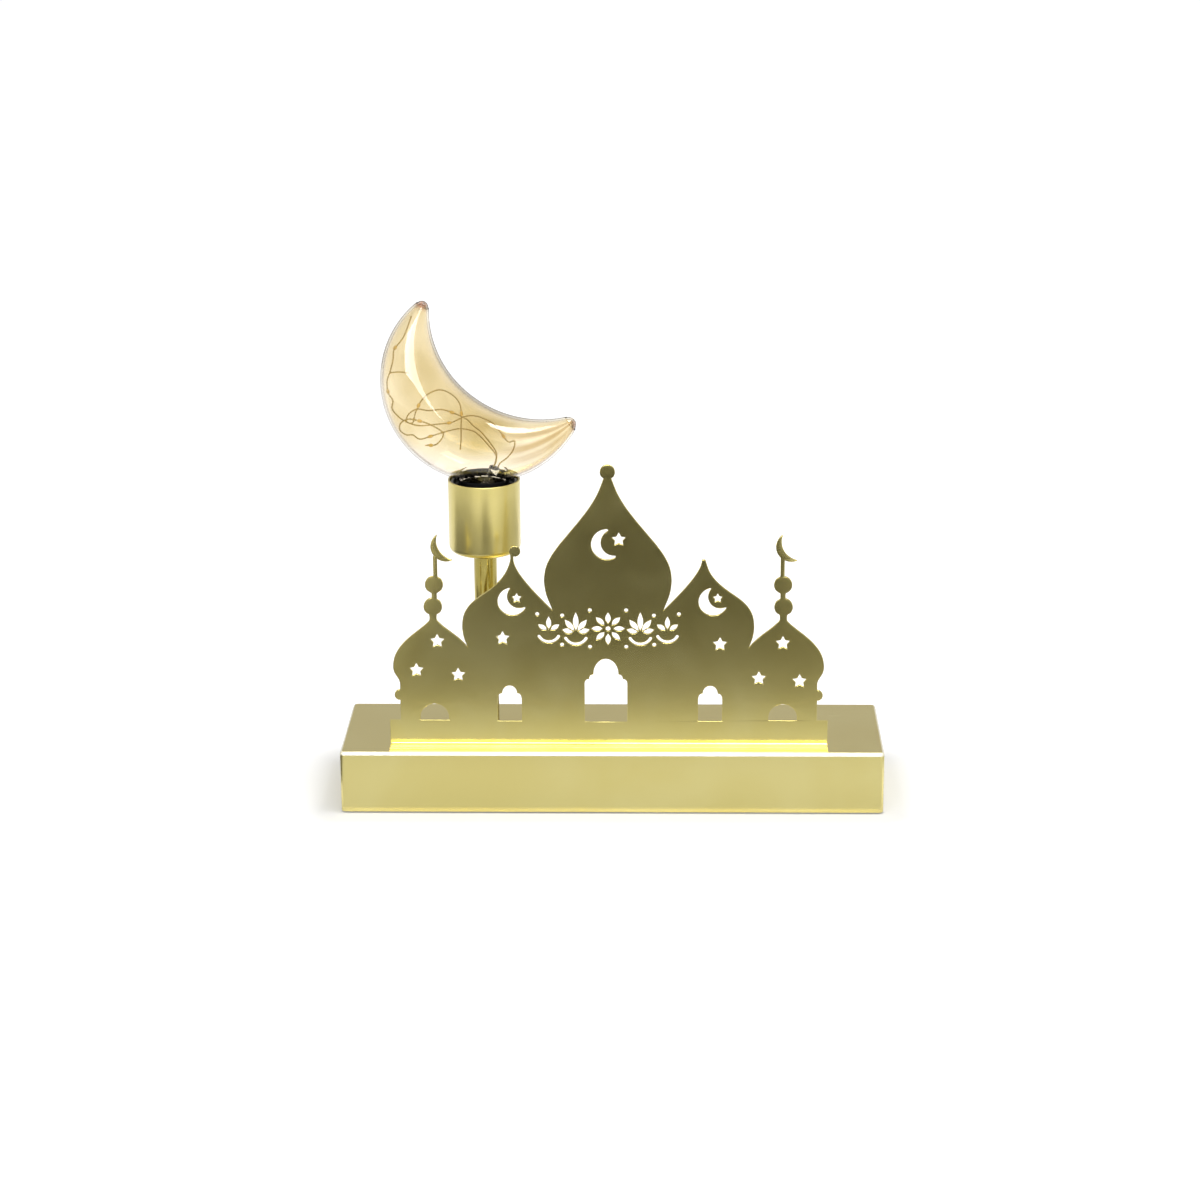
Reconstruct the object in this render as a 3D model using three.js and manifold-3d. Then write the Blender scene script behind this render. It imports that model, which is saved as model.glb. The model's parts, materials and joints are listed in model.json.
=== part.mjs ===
// A table light: a folded gold box carries a laser-cut mosque silhouette and a glass moon on a short stem.
// Millimetres, +Z up. The origin is the middle of the footprint, at the feet's undersides. -Y is the front.
import * as THREE from 'three';
import { mergeVertices } from 'three/addons/utils/BufferGeometryUtils.js';
import Module from 'manifold-3d';

const wasm = await Module();
wasm.setup();

// Clearances
const fitGap = 0.3; // a piece in its seat, all round
const looseGap = 0.6; // a piece that moves past another

// Base box, folded from sheet and open underneath
const baseWidth = 300;
const baseDepth = 80;
const baseTop = 36;
const baseSheet = 1;
const baseEdgeRadius = 2;
const baseCornerRadius = 2.6;
const baseLift = 1; // its lower edge above the table
const tabLength = 17;
const tabWidth = 16;
const tabThickness = 1.5;

// Feet and bottom plate
const footHeight = 2;
const footRadius = 6;
const footFromEnd = 22;
const footFromSide = 13;
const plateThickness = 2;

// Countersunk screws
const screwRadius = 1.5;
const screwHeadRadius = 2.8;
const screwHeadHeight = 1.4;
const screwLength = 8;
const screwFromEnd = 9;
const screwFromSide = 11;

// Mosque panel, one sheet: heights are above the base's top, widths are half widths
const panelSheet = 1.5;
const panelInset = 10; // its front face behind the front of the base
const panelShift = -1.8; // its middle, left of the base's middle
const flangeReach = 5.5; // the flange's front edge before the panel's front face
const bendRadius = 1;
const stripHalf = 120.6;
const domeOverlap = 0.4; // how far the two halves of a dome's outline reach into each other
const stripHeight = 15.4;
const columnHalf = 114.6;
const bumpRadius = 3.1;
const bumpHeight = 30;

// Towers with onion domes: axis, then half width and height of the tip, the belly and the waist
const centreDome = { axis: 0, tip: [2.2, 153.6], belly: [34.7, 97.2], waist: [28.9, 69], hollow: [7, 25], swell: 18 };
const sideDome = { axis: 52, tip: [0.9, 107.9], belly: [27.7, 70.4], waist: [23.2, 48], hollow: [4.4, 21], swell: 18.6 };
const endDome = { axis: 95.5, tip: [2.1, 73.4], belly: [22.6, 46.6], waist: [18.9, 35], hollow: [4, 6.3], swell: 14 };
// The side domes fall straighter towards the middle
const innerFall = { end: [22.2, 78.5], hollow: [0.4, 8], lean: [8, 8.5] };

// Balls and crescents on the tips. The end towers' rods stand a little inwards, each in its own way
const centreBall = { radius: 4.15, height: 157 };
const sideBall = { radius: 3.1, height: 112.6, shift: 1.6 };
const endBalls = [{ radius: 5.1, height: 81 }, { radius: 5, height: 93.6 }];
const finialNeckHalf = 1.45;
const finialRodHalf = 1.15;
const finialLeans = [{ side: -1, inwards: 1.8, crescentX: -87.7 }, { side: 1, inwards: 0.8, crescentX: 99.3 }];
const finialCrescent = { height: 115.1, outer: 8.35, inner: 10.9, offset: 6.5, axis: 29, tip: 97 };

// Cut-outs: crescents with a star, loose stars, windows and the doorway
const centreCrescent = { x: -0.3, height: 116.5, outer: 8.65, inner: 7.35, offset: 3.9, axis: 15, tip: 75 };
const centreStar = { x: 6, height: 119.3, radius: 4 };
const sideCrescent = { outer: 7.95, inner: 6.7, offset: 4.8, axis: 37, tip: 65 };
const sideCrescentHeight = 84;
const sideCrescentXs = [-52.1, 57.3];
const sideStar = { dx: 2.4, dz: 2, radius: 2.8 };
const wallStars = [
  [-93.5, 61.2], [-105.3, 44.4], [-82.4, 41.7], [-57.7, 62.9],
  [95.4, 60.3], [104.8, 38.3], [82.5, 39.9], [61.1, 59.6],
];
const wallStarRadius = 4.1;
const starWaist = 0.52; // inner over outer radius of a star
const endWindow = { x: 95.8, half: 7.9, sill: 15.4, spring: 17, top: 24.9 };
const sideWindowXs = [-54.3, 55.9];
const sideWindow = { half: 6.6, sill: 14.9, spring: 27.2, lobes: [[4.1, 31]], top: 35.5 };
const doorway = { x: -1.3, half: 11.7, sill: 14.4, spring: 36.4, lobes: [[9.2, 39.4], [6.9, 42]], top: 51.1 };

// Pierced foliate band across the middle
const bandHeight = 68.5;
const rosette = { petals: 8, hub: 1.3, inner: 2.9, length: 6.4, width: 2.9 };
const sprays = [
  { x: 17.6, dz: -2.6, inner: 1.6, lengths: [6.2, 8.2, 10.4, 8.2, 6.2], spread: 150, width: 3 },
  { x: 32.4, dz: -1.6, inner: 1.4, lengths: [5.6, 7.2, 5.6], spread: 110, width: 2.7 },
];
const spraySlit = { radiusOver: 3.2, width: 1.6, halfAngle: 62 };
const bandDots = [[9.9, 10.6], [9.9, -10.4], [25, 7.6], [25.2, -9.2], [38.6, 8.4]];
const bandDotRadius = 1.05;

// Stem, rod and their nuts
const lampX = -70;
const stemRadius = 6.35;
const stemWall = 1;
const stemLength = 104.2;
const rodRadius = 5;
const rodBore = 3.6;
const rodBelow = 8.5; // rod under the base's top
const washerRadius = 10;
const washerThickness = 1;
const nutAcrossFlats = 14;
const baseNutHeight = 4;
const cupNutHeight = 3;

// Cup and lampholder
const cupRadius = 19.75;
const cupHeight = 41;
const cupWall = 1;
const cupCornerRadius = 4;
const holderFloor = 2.2;
const holderBelowRim = 1;
const holderLipWall = 1.6;
const holderLipDepth = 3.2;
const holderBore = 15.6;
const terminalBore = 13.5;
const blockThickness = 3;
const lugFromAxis = 11;
const lugRadius = 1.1;
const contactMetal = 0.4;
const shellHeight = 15;
const threadRidges = 3;
const threadDepth = 0.8;

// Bulb
const capThreadRadius = 13;
const capMetal = 0.4;
const capThreadHeight = 10;
const capSkirtRadius = 14;
const capSkirtHeight = 4;
const capBelowMoon = 2; // skirt's rim under the moon's lowest point
const tipHeight = 0.9;
const tipRadius = 4.5;
const insulatorHeight = 3.5;
const neckRadius = 13.2;
const flareRadius = 15.5;
const glassWall = 1.2;

// Glass moon: the crescent between two circles, round in section all along
const moonRadius = 56.3;
const moonInnerRadius = 59.2;
const moonThickness = 45.4;
const moonAxis = 51.2; // direction of the opening, degrees up from +X
const moonTipAngles = [78, 79.6]; // from the opening's direction to the last full section, up and down
const moonTipProfile = [[0.56, 0.74], [0.84, 0.48], [0.97, 0.22]]; // beyond it: length and radius, shares of its radius
const moonShift = 0.9; // its middle beside the lamp's axis
const moonSink = 1.7; // how far its lowest point lies in the cup
const moonStations = 26;
const moonSides = 18;

// Glass press and fairy wires
const mountDiscRadius = 11.4;
const mountHeight = 13.5;
const mountLean = 22;
const mountRadius = 3.2;
const mountSide = 1.2;
const mountFlareThickness = 1.2;
const fairyWireRadius = 0.35;
const beadRadius = 1.1;
const beadLength = 3.4;

// Battery bay
const bayX = 45;
const cellRadius = 7.1;
const cellLength = 49.2;
const cellNubRadius = 2.8;
const cellNubHeight = 1.3;
const cellPitch = 15.2;
const boxWall = 1.5;
const boxFlange = 3;
const earLength = 8;
const earThickness = 3;
const contactPlate = 0.5;
const contactHalf = 5.4;
const springLength = 5.5;
const springRadius = 4.4;
const springEndRadius = 2.6;
const springWire = 0.4;
const springTurns = 4;
const solderLug = 2.5;

// Battery door on two pins
const doorThickness = 1.9;
const pinRadius = 0.6;
const pinLength = 2.5;
const pinGap = 0.2;
const hingeInset = 1.6;
const thumbNotch = { length: 12, depth: 3, height: 1.1 };

// Slide switch
const switchX = -14;
const switchLength = 13;
const switchWidth = 6;
const switchHeight = 5.5;
const switchTravel = 4;
const switchEar = 3.6;
const switchEarThickness = 1;
const postRadius = 1.1;
const postHeadRadius = 1.8;
const postHeadHeight = 0.7;
const knobLength = 4;
const knobWidth = 3.4;
const knobAbove = 1.2; // knob in the switch's pocket
const knobProud = 1.2; // knob below the plate
const pinSpacing = 7;
const switchPinHeight = 2.5;

// Leads
const leadRadius = 0.8;
const leadFromAxis = 1.3;

// Heights that follow from the sizes above
const plateBottom = footHeight;
const plateTop = plateBottom + plateThickness;
const sheetUnderside = baseTop - baseSheet;
const cupBottom = baseTop + stemLength;
const cupRim = cupBottom + cupHeight;
const cupFloor = cupBottom + cupWall;
const holderBottom = cupFloor + washerThickness + cupNutHeight;
const holderTop = cupRim - holderBelowRim;
const rodTop = holderBottom + holderFloor;
const moonBottom = cupRim - moonSink;
const moonCentre = moonBottom + moonRadius;
const skirtTop = moonBottom - capBelowMoon;
const skirtBottom = skirtTop - capSkirtHeight;
const neckBottom = skirtBottom + capMetal + fitGap;
const mountFoot = neckBottom + mountFlareThickness;
const capBottom = skirtBottom - capThreadHeight;
const insulatorBottom = capBottom - insulatorHeight;
const capTipBottom = insulatorBottom - tipHeight;
const contactTop = capTipBottom - fitGap;
const blockTop = contactTop - 4.5 * contactMetal;
const blockBottom = blockTop - blockThickness;
const lugBottom = blockBottom - contactMetal;

const gold = { color: 0xb9a75a, roughness: 0.34, metalness: 1 };
const blackPlastic = { color: 0x141414, roughness: 0.35, metalness: 0 };
const steel = { color: 0xb5b5b2, roughness: 0.4, metalness: 1 };
const nickel = { color: 0xc9c7c0, roughness: 0.3, metalness: 1 };
const brass = { color: 0xc9a24a, roughness: 0.35, metalness: 1 };
const copper = { color: 0x9c7a3c, roughness: 0.4, metalness: 1 };
const glass = { color: 0xf0dfb0, roughness: 0.05, metalness: 0, transparent: true, opacity: 0.35 };
const clearGlass = { color: 0xe8e6e0, roughness: 0.08, metalness: 0, transparent: true, opacity: 0.5 };
const rubber = { color: 0x1c1c1c, roughness: 0.85, metalness: 0 };
const redSleeve = { color: 0xa02820, roughness: 0.55, metalness: 0 };
const blackSleeve = { color: 0x1a1a1a, roughness: 0.55, metalness: 0 };
const cellCoat = { color: 0x3b5f86, roughness: 0.35, metalness: 0.4 };

const stand = new THREE.Group();
const lamp = new THREE.Group();
lamp.position.x = lampX;
stand.add(lamp);

// One closed surface: shared points merged, collapsed triangles dropped, faces pointing out
function closed(geometry) {
  const bare = new THREE.BufferGeometry();
  bare.setAttribute('position', geometry.getAttribute('position'));
  bare.setIndex(geometry.getIndex());
  const merged = mergeVertices(bare, 1e-4);
  const corners = merged.getIndex().array;
  const position = merged.getAttribute('position');
  const kept = [];
  const [a, b, c] = [new THREE.Vector3(), new THREE.Vector3(), new THREE.Vector3()];
  let volume = 0;
  for (let i = 0; i < corners.length; i += 3) {
    const [p, q, r] = [corners[i], corners[i + 1], corners[i + 2]];
    if (p === q || q === r || r === p) continue;
    kept.push(p, q, r);
    a.fromBufferAttribute(position, p);
    b.fromBufferAttribute(position, q);
    c.fromBufferAttribute(position, r);
    volume += a.dot(b.cross(c));
  }
  if (volume < 0) kept.reverse();
  merged.setIndex(kept);
  return merged;
}

function toSolid(geometry) {
  const shape = closed(geometry);
  return new wasm.Manifold(new wasm.Mesh({
    numProp: 3,
    vertProperties: new Float32Array(shape.getAttribute('position').array),
    triVerts: new Uint32Array(shape.getIndex().array),
  }));
}

function toGeometry(solid) {
  const mesh = solid.getMesh();
  const geometry = new THREE.BufferGeometry();
  geometry.setAttribute('position', new THREE.BufferAttribute(new Float32Array(mesh.vertProperties), 3));
  geometry.setIndex(new THREE.BufferAttribute(new Uint32Array(mesh.triVerts), 1));
  return geometry;
}

const union = (geometries) => geometries.map(toSolid).reduce((sum, next) => sum.add(next));
const join = (...geometries) => toGeometry(union(geometries));
const cut = (body, ...tools) => toGeometry(toSolid(body).subtract(union(tools)));

function add(name, geometry, look, parent = stand) {
  const mesh = new THREE.Mesh(closed(geometry), new THREE.MeshStandardMaterial(look));
  mesh.name = name;
  parent.add(mesh);
  return mesh;
}

const block = (x0, x1, y0, y1, z0, z1) =>
  new THREE.BoxGeometry(x1 - x0, y1 - y0, z1 - z0).translate((x0 + x1) / 2, (y0 + y1) / 2, (z0 + z1) / 2);

// A [radius, height] profile turned about Z. It closes on itself, or on the axis where it starts there
function turned(profile, segments = 32) {
  const points = profile.map(([r, z]) => new THREE.Vector2(r, z));
  if (profile[0][0] > 0) points.push(points[0].clone());
  return new THREE.LatheGeometry(points, segments).rotateX(Math.PI / 2);
}

const disc = (radius, z0, z1, segments = 24) => turned([[0, z0], [radius, z0], [radius, z1], [0, z1]], segments);
const ring = (outer, inner, z0, z1, segments = 20) =>
  turned([[inner, z0], [outer, z0], [outer, z1], [inner, z1]], segments);

// A closed body through rings of equally many points, with flat ends
function loft(rings) {
  const count = rings[0].length;
  const points = rings.flat();
  const triangles = [];
  for (let k = 0; k + 1 < rings.length; k += 1) {
    for (let i = 0; i < count; i += 1) {
      const [a, b] = [k * count + i, k * count + ((i + 1) % count)];
      triangles.push(a, b, a + count, b, b + count, a + count);
    }
  }
  for (const [start, turn] of [[0, 1], [(rings.length - 1) * count, -1]]) {
    const middle = points.slice(start, start + count).reduce((sum, p) => sum.add(p), new THREE.Vector3());
    points.push(middle.divideScalar(count));
    for (let i = 0; i < count; i += 1) {
      const edge = [start + ((i + 1) % count), start + i];
      triangles.push(points.length - 1, ...(turn > 0 ? edge : edge.reverse()));
    }
  }
  const geometry = new THREE.BufferGeometry().setFromPoints(points);
  geometry.setIndex(triangles);
  return geometry;
}

// A round wire or lead along a smooth curve through points
function wire(points, radius, sides, steps) {
  const path = new THREE.CatmullRomCurve3(points.map((p) => new THREE.Vector3(...p)), false, 'centripetal');
  return tube(path, radius, sides, steps);
}

function tube(path, radius, sides, steps) {
  const section = new THREE.Shape();
  for (let i = 0; i < sides; i += 1) {
    const angle = (2 * Math.PI * i) / sides;
    const corner = [radius * Math.cos(angle), radius * Math.sin(angle)];
    if (i === 0) section.moveTo(...corner);
    else section.lineTo(...corner);
  }
  return new THREE.ExtrudeGeometry(section, { steps, bevelEnabled: false, extrudePath: path });
}

// Base box
function roundedRing(width, depth, radius, z) {
  const corners = [[1, 1], [-1, 1], [-1, -1], [1, -1]];
  return corners.flatMap(([sx, sy], quarter) => [0, 1, 2, 3].map((step) => {
    const angle = ((quarter + step / 3) * Math.PI) / 2;
    const x = sx * (width / 2 - radius) + radius * Math.cos(angle);
    const y = sy * (depth / 2 - radius) + radius * Math.sin(angle);
    return new THREE.Vector3(x, y, z);
  }));
}

function roundedBox(width, depth, bottom, top, cornerRadius, edgeRadius) {
  const rings = [roundedRing(width, depth, cornerRadius, bottom)];
  for (let step = 0; step <= 4; step += 1) {
    const angle = (step / 4) * (Math.PI / 2);
    const inset = edgeRadius * (1 - Math.cos(angle));
    const z = top - edgeRadius + edgeRadius * Math.sin(angle);
    rings.push(roundedRing(width - 2 * inset, depth - 2 * inset, cornerRadius - inset, z));
  }
  return loft(rings);
}

const cornersOf = (fromEnd, fromSide) => [[-1, -1], [1, -1], [1, 1], [-1, 1]].map(
  ([sx, sy]) => [sx * (baseWidth / 2 - fromEnd), sy * (baseDepth / 2 - fromSide)],
);
const coverScrews = cornersOf(screwFromEnd, screwFromSide);

function baseShell() {
  const outside = roundedBox(baseWidth, baseDepth, baseLift, baseTop, baseCornerRadius, baseEdgeRadius);
  const inside = roundedBox(baseWidth - 2 * baseSheet, baseDepth - 2 * baseSheet, baseLift - 1, sheetUnderside,
    baseCornerRadius - baseSheet, baseEdgeRadius - baseSheet);
  const tabs = coverScrews.map(([x, y]) => {
    const end = Math.sign(x) * (baseWidth / 2 - baseSheet / 2);
    const start = end - Math.sign(x) * tabLength;
    return block(Math.min(start, end), Math.max(start, end), y - tabWidth / 2, y + tabWidth / 2,
      plateTop, plateTop + tabThickness);
  });
  const holes = coverScrews.map(([x, y]) => disc(screwRadius + fitGap, plateTop - 1, plateTop + tabThickness + 1)
    .translate(x, y, 0));
  const rodHole = disc(rodRadius + fitGap, sheetUnderside - 1, baseTop + 1).translate(lampX, 0, 0);
  return cut(join(cut(outside, inside), ...tabs), rodHole, ...holes);
}

// Screw with a countersunk head at the plate's underside, pointing up
function screw(length) {
  return turned([[0, 0], [screwHeadRadius, 0], [screwRadius, screwHeadHeight], [screwRadius, length - 0.8],
    [screwRadius - 0.6, length], [0, length]], 12);
}

function screwSeat(x, y) {
  const gap = fitGap;
  const profile = [[0, -1], [screwHeadRadius + gap, -1], [screwHeadRadius + gap, 0],
    [screwRadius + gap, screwHeadHeight], [screwRadius + gap, plateThickness + 1], [0, plateThickness + 1]];
  return turned(profile, 12).translate(x, y, plateBottom);
}

// Battery bay: places along X, from its left inner wall to its right one
const bayLength = 2 * contactPlate + springLength + cellLength + cellNubHeight;
const bayLeft = bayX - bayLength / 2;
const bayRight = bayX + bayLength / 2;
const bayHalfDepth = 1.5 * cellPitch + fitGap;
const cellAxis = plateTop + fitGap + cellRadius;
const bayCeiling = cellAxis + cellRadius + fitGap;
const boxLeft = bayLeft - boxWall;
const boxRight = bayRight + boxWall;
const boxHalfDepth = bayHalfDepth + boxWall;
const boxTop = bayCeiling + boxWall;
const lugHeight = cellAxis + 2.6;
const boxScrews = [[boxLeft - boxFlange - earLength / 2, -12], [boxRight + boxFlange + earLength / 2, -12]];

// The door's opening in the plate, and its hinge line
const doorLeft = bayLeft - 0.7;
const hingeX = doorLeft + pinRadius + 0.1;
const hingeZ = plateBottom + doorThickness - pinRadius - 0.1;
const openingLeft = hingeX - hingeInset;
const openingRight = bayRight + 0.6;
const openingHalfDepth = bayHalfDepth + 0.4;

const switchPosts = [-1, 1].map((side) => switchX + side * (switchLength / 2 + switchEar / 2));
const slotHalfLength = (knobLength + switchTravel) / 2 + fitGap;
const slotHalfWidth = knobWidth / 2 + fitGap;

function bottomPlate() {
  const width = baseWidth - 2 * baseSheet - 2 * fitGap;
  const depth = baseDepth - 2 * baseSheet - 2 * fitGap;
  const slab = loft([plateBottom, plateTop].map((z) => roundedRing(width, depth, baseCornerRadius - baseSheet, z)));
  const opening = block(openingLeft, openingRight, -openingHalfDepth, openingHalfDepth, plateBottom - 1, plateTop + 1);
  const pinSlots = [-1, 1].map((side) => {
    const near = side * (openingHalfDepth - 1);
    const far = side * (openingHalfDepth + pinLength + pinGap);
    return block(hingeX - pinRadius - pinGap, hingeX + pinRadius + pinGap, Math.min(near, far), Math.max(near, far),
      hingeZ - pinRadius - pinGap, plateTop + 1);
  });
  const notch = block(openingRight - 1, openingRight + thumbNotch.depth, -thumbNotch.length / 2,
    thumbNotch.length / 2, plateBottom - 1, plateBottom + thumbNotch.height);
  const slot = block(switchX - slotHalfLength, switchX + slotHalfLength, -slotHalfWidth, slotHalfWidth,
    plateBottom - 1, plateTop + 1);
  const seats = [...coverScrews, ...boxScrews].map(([x, y]) => screwSeat(x, y));
  const headBottom = plateTop + switchEarThickness + fitGap;
  const posts = switchPosts.map((x) => turned([[0, plateTop - 0.5], [postRadius, plateTop - 0.5],
    [postRadius, headBottom], [postHeadRadius, headBottom], [postHeadRadius * 0.7, headBottom + postHeadHeight],
    [0, headBottom + postHeadHeight]], 16).translate(x, 0, 0));
  return join(cut(slab, opening, ...pinSlots, notch, slot, ...seats), ...posts);
}

function foot() {
  return turned([[0, 0], [footRadius - 0.6, 0], [footRadius, 0.6], [footRadius, footHeight], [0, footHeight]], 16);
}

function batteryBox() {
  const outside = block(boxLeft, boxRight, -boxHalfDepth, boxHalfDepth, plateTop, boxTop);
  const flange = block(boxLeft - boxFlange, boxRight + boxFlange, -boxHalfDepth - boxFlange,
    boxHalfDepth + boxFlange, plateTop, plateTop + boxWall);
  const ears = boxScrews.map(([x, y]) => {
    const inner = x < bayX ? boxLeft - boxWall : boxRight + boxWall;
    const outer = x < bayX ? x - earLength / 2 : x + earLength / 2;
    return block(Math.min(inner, outer), Math.max(inner, outer), y - earLength / 2, y + earLength / 2,
      plateTop, plateTop + earThickness);
  });
  const inside = block(bayLeft, bayRight, -bayHalfDepth, bayHalfDepth, plateTop - 1, bayCeiling);
  const holes = boxScrews.map(([x, y]) => disc(screwRadius + fitGap, plateTop - 1, plateTop + earThickness + 1, 16)
    .translate(x, y, 0));
  const lugSlots = [[boxLeft - 1, bayLeft + 1, -cellPitch], [bayRight - 1, boxRight + 1, cellPitch]].map(
    ([x0, x1, y]) => block(x0, x1, y - 1.5 - fitGap, y + 1.5 + fitGap, lugHeight - fitGap,
      lugHeight + contactPlate + fitGap),
  );
  return cut(join(outside, flange, ...ears), inside, ...holes, ...lugSlots);
}

function batteryDoor() {
  const top = plateBottom + doorThickness;
  const right = openingRight - fitGap;
  const section = new THREE.Shape();
  section.moveTo(right, plateBottom);
  section.lineTo(right, top);
  section.lineTo(hingeX, top);
  section.absarc(hingeX, hingeZ, top - hingeZ, Math.PI / 2, Math.PI, false);
  section.lineTo(hingeX - (top - hingeZ), plateBottom);
  section.closePath();
  const halfDepth = openingHalfDepth - fitGap;
  const slab = new THREE.ExtrudeGeometry(section, { depth: 2 * halfDepth, bevelEnabled: false, curveSegments: 4 })
    .rotateX(Math.PI / 2).translate(0, halfDepth, 0);
  const reach = openingHalfDepth + pinLength;
  const pins = [-1, 1].map((side) => disc(pinRadius, 0, reach - halfDepth + 1, 12).rotateX(-side * Math.PI / 2)
    .translate(hingeX, side * (halfDepth - 1), hingeZ));
  return join(slab, ...pins);
}

function cell() {
  const [r, l, n] = [cellRadius, cellLength, cellNubRadius];
  return turned([[0, 0], [r - 0.8, 0], [r, 0.5], [r, l - 0.8], [r - 0.8, l], [n, l], [n, l + cellNubHeight],
    [0, l + cellNubHeight]], 16).rotateY(Math.PI / 2);
}

// Battery spring, wound from the plate towards the cell and drawn in
class SpringCurve extends THREE.Curve {
  getPoint(t, target = new THREE.Vector3()) {
    const angle = 2 * Math.PI * springTurns * t;
    const radius = springRadius + (springEndRadius - springRadius) * t;
    const x = (springLength - fitGap - springWire) * t;
    return target.set(x, radius * Math.cos(angle), radius * Math.sin(angle));
  }
}

const spring = () => tube(new SpringCurve(), springWire, 5, springTurns * 8);
const contact = (x, y0, y1) =>
  block(x, x + contactPlate, y0 - contactHalf, y1 + contactHalf, cellAxis - contactHalf, cellAxis + contactHalf);
const lug = (x0, x1, y) => block(x0, x1, y - 1.5, y + 1.5, lugHeight, lugHeight + contactPlate);

function addBatteryBay() {
  add('battery_box', batteryBox(), blackPlastic);
  add('battery_door', batteryDoor(), blackPlastic);
  const plusLeft = (y) => cell().rotateZ(Math.PI).translate(bayLeft + contactPlate + cellLength + cellNubHeight, y, cellAxis);
  const plusRight = (y) => cell().translate(bayRight - contactPlate - cellLength - cellNubHeight, y, cellAxis);
  add('cell_1', plusLeft(-cellPitch), cellCoat);
  add('cell_2', plusRight(0), cellCoat);
  add('cell_3', plusLeft(cellPitch), cellCoat);
  const left = bayLeft;
  const right = bayRight - contactPlate;
  const springLeft = (y) => spring().translate(left + contactPlate, y, cellAxis);
  const springRight = (y) => spring().rotateZ(Math.PI).translate(right, y, cellAxis);
  const positive = join(contact(left, -cellPitch, -cellPitch), lug(boxLeft - solderLug, left + 0.2, -cellPitch));
  const negative = join(contact(right, cellPitch, cellPitch), springRight(cellPitch),
    lug(bayRight - 0.2, boxRight + solderLug, cellPitch));
  add('contact_positive', positive, nickel);
  add('contact_negative', negative, nickel);
  add('contact_bridge_left', join(contact(left, 0, cellPitch), springLeft(0)), nickel);
  add('contact_bridge_right', join(contact(right, -cellPitch, 0), springRight(-cellPitch)), nickel);
}

function addSwitch() {
  const half = switchLength / 2;
  const body = block(switchX - half, switchX + half, -switchWidth / 2, switchWidth / 2, plateTop,
    plateTop + switchHeight);
  const ears = block(switchX - half - switchEar, switchX + half + switchEar, -switchWidth / 2, switchWidth / 2,
    plateTop, plateTop + switchEarThickness);
  const pins = [-1, 1].map((side) => {
    const x = switchX + (side * pinSpacing) / 2;
    return block(x - 0.6, x + 0.6, -0.3, 0.3, plateTop + switchHeight - 0.5,
      plateTop + switchHeight + switchPinHeight);
  });
  const pocket = block(switchX - slotHalfLength, switchX + slotHalfLength, -slotHalfWidth, slotHalfWidth,
    plateTop - 1, plateTop + knobAbove + fitGap);
  const postHoles = switchPosts.map((x) => disc(postRadius + fitGap, plateTop - 1, plateTop + 2, 16)
    .translate(x, 0, 0));
  add('switch_body', cut(join(body, ears, ...pins), pocket, ...postHoles), steel);
  const start = switchX - switchTravel / 2;
  const shank = block(start - knobLength / 2, start + knobLength / 2, -knobWidth / 2, knobWidth / 2,
    plateBottom - knobProud, plateTop + knobAbove);
  const grooves = [-1, 0, 1].map((k) => block(start + k * 1.1 - 0.25, start + k * 1.1 + 0.25, -knobWidth,
    knobWidth, plateBottom - knobProud - 1, plateBottom - knobProud + 0.35));
  add('switch_knob', cut(shank, ...grooves), blackPlastic);
}

// Mosque panel: shapes are drawn in X and height, then stood up
const panelFront = -baseDepth / 2 + panelInset;
const panelBack = panelFront + panelSheet;

function standUp(shape, front, back, curveSegments = 5) {
  return new THREE.ExtrudeGeometry(shape, { depth: back - front, bevelEnabled: false, curveSegments })
    .rotateX(Math.PI / 2).translate(panelShift, back, baseTop);
}

const sheetOf = (shape, curveSegments) => standUp(shape, panelFront, panelBack, curveSegments);
const through = (shape, curveSegments) => standUp(shape, panelFront - 1, panelBack + 1, curveSegments);

// Half a tower with an onion dome: straight below the waist, a belly, then a hollow curve up to the tip
function halfTower({ axis, tip, belly, waist, hollow, swell }, side, foot) {
  const ease = (belly[1] - waist[1]) / 2;
  const at = (half, height) => [side * (axis + half), height];
  const half = new THREE.Shape();
  half.moveTo(...at(-domeOverlap, foot));
  half.lineTo(...at(waist[0], foot));
  half.lineTo(...at(waist[0], waist[1]));
  half.bezierCurveTo(...at(waist[0], waist[1] + ease), ...at(belly[0], belly[1] - ease), ...at(...belly));
  half.bezierCurveTo(...at(belly[0], belly[1] + swell), ...at(tip[0] + hollow[0], tip[1] - hollow[1]), ...at(...tip));
  half.lineTo(...at(-domeOverlap, tip[1]));
  return half;
}

// The side of a side dome that faces the middle. Below its end it runs into the centre tower
function innerHalf({ axis, tip }, { end, hollow, lean }, side, foot) {
  const at = (half, height) => [side * (axis - half), height];
  const reach = axis - centreDome.waist[0] + domeOverlap;
  const half = new THREE.Shape();
  half.moveTo(...at(-domeOverlap, foot));
  half.lineTo(...at(reach, foot));
  half.lineTo(...at(reach, end[1] - 4));
  half.lineTo(...at(...end));
  half.bezierCurveTo(...at(end[0] - lean[0], end[1] + lean[1]), ...at(tip[0] + hollow[0], tip[1] - hollow[1]),
    ...at(...tip));
  half.lineTo(...at(-domeOverlap, tip[1]));
  return half;
}

function rectangle(x0, x1, z0, z1) {
  const shape = new THREE.Shape();
  shape.moveTo(x0, z0);
  shape.lineTo(x1, z0);
  shape.lineTo(x1, z1);
  shape.lineTo(x0, z1);
  return shape;
}

function circle(x, z, radius) {
  const shape = new THREE.Shape();
  shape.absarc(x, z, radius, 0, 2 * Math.PI, false);
  return shape;
}

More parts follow.
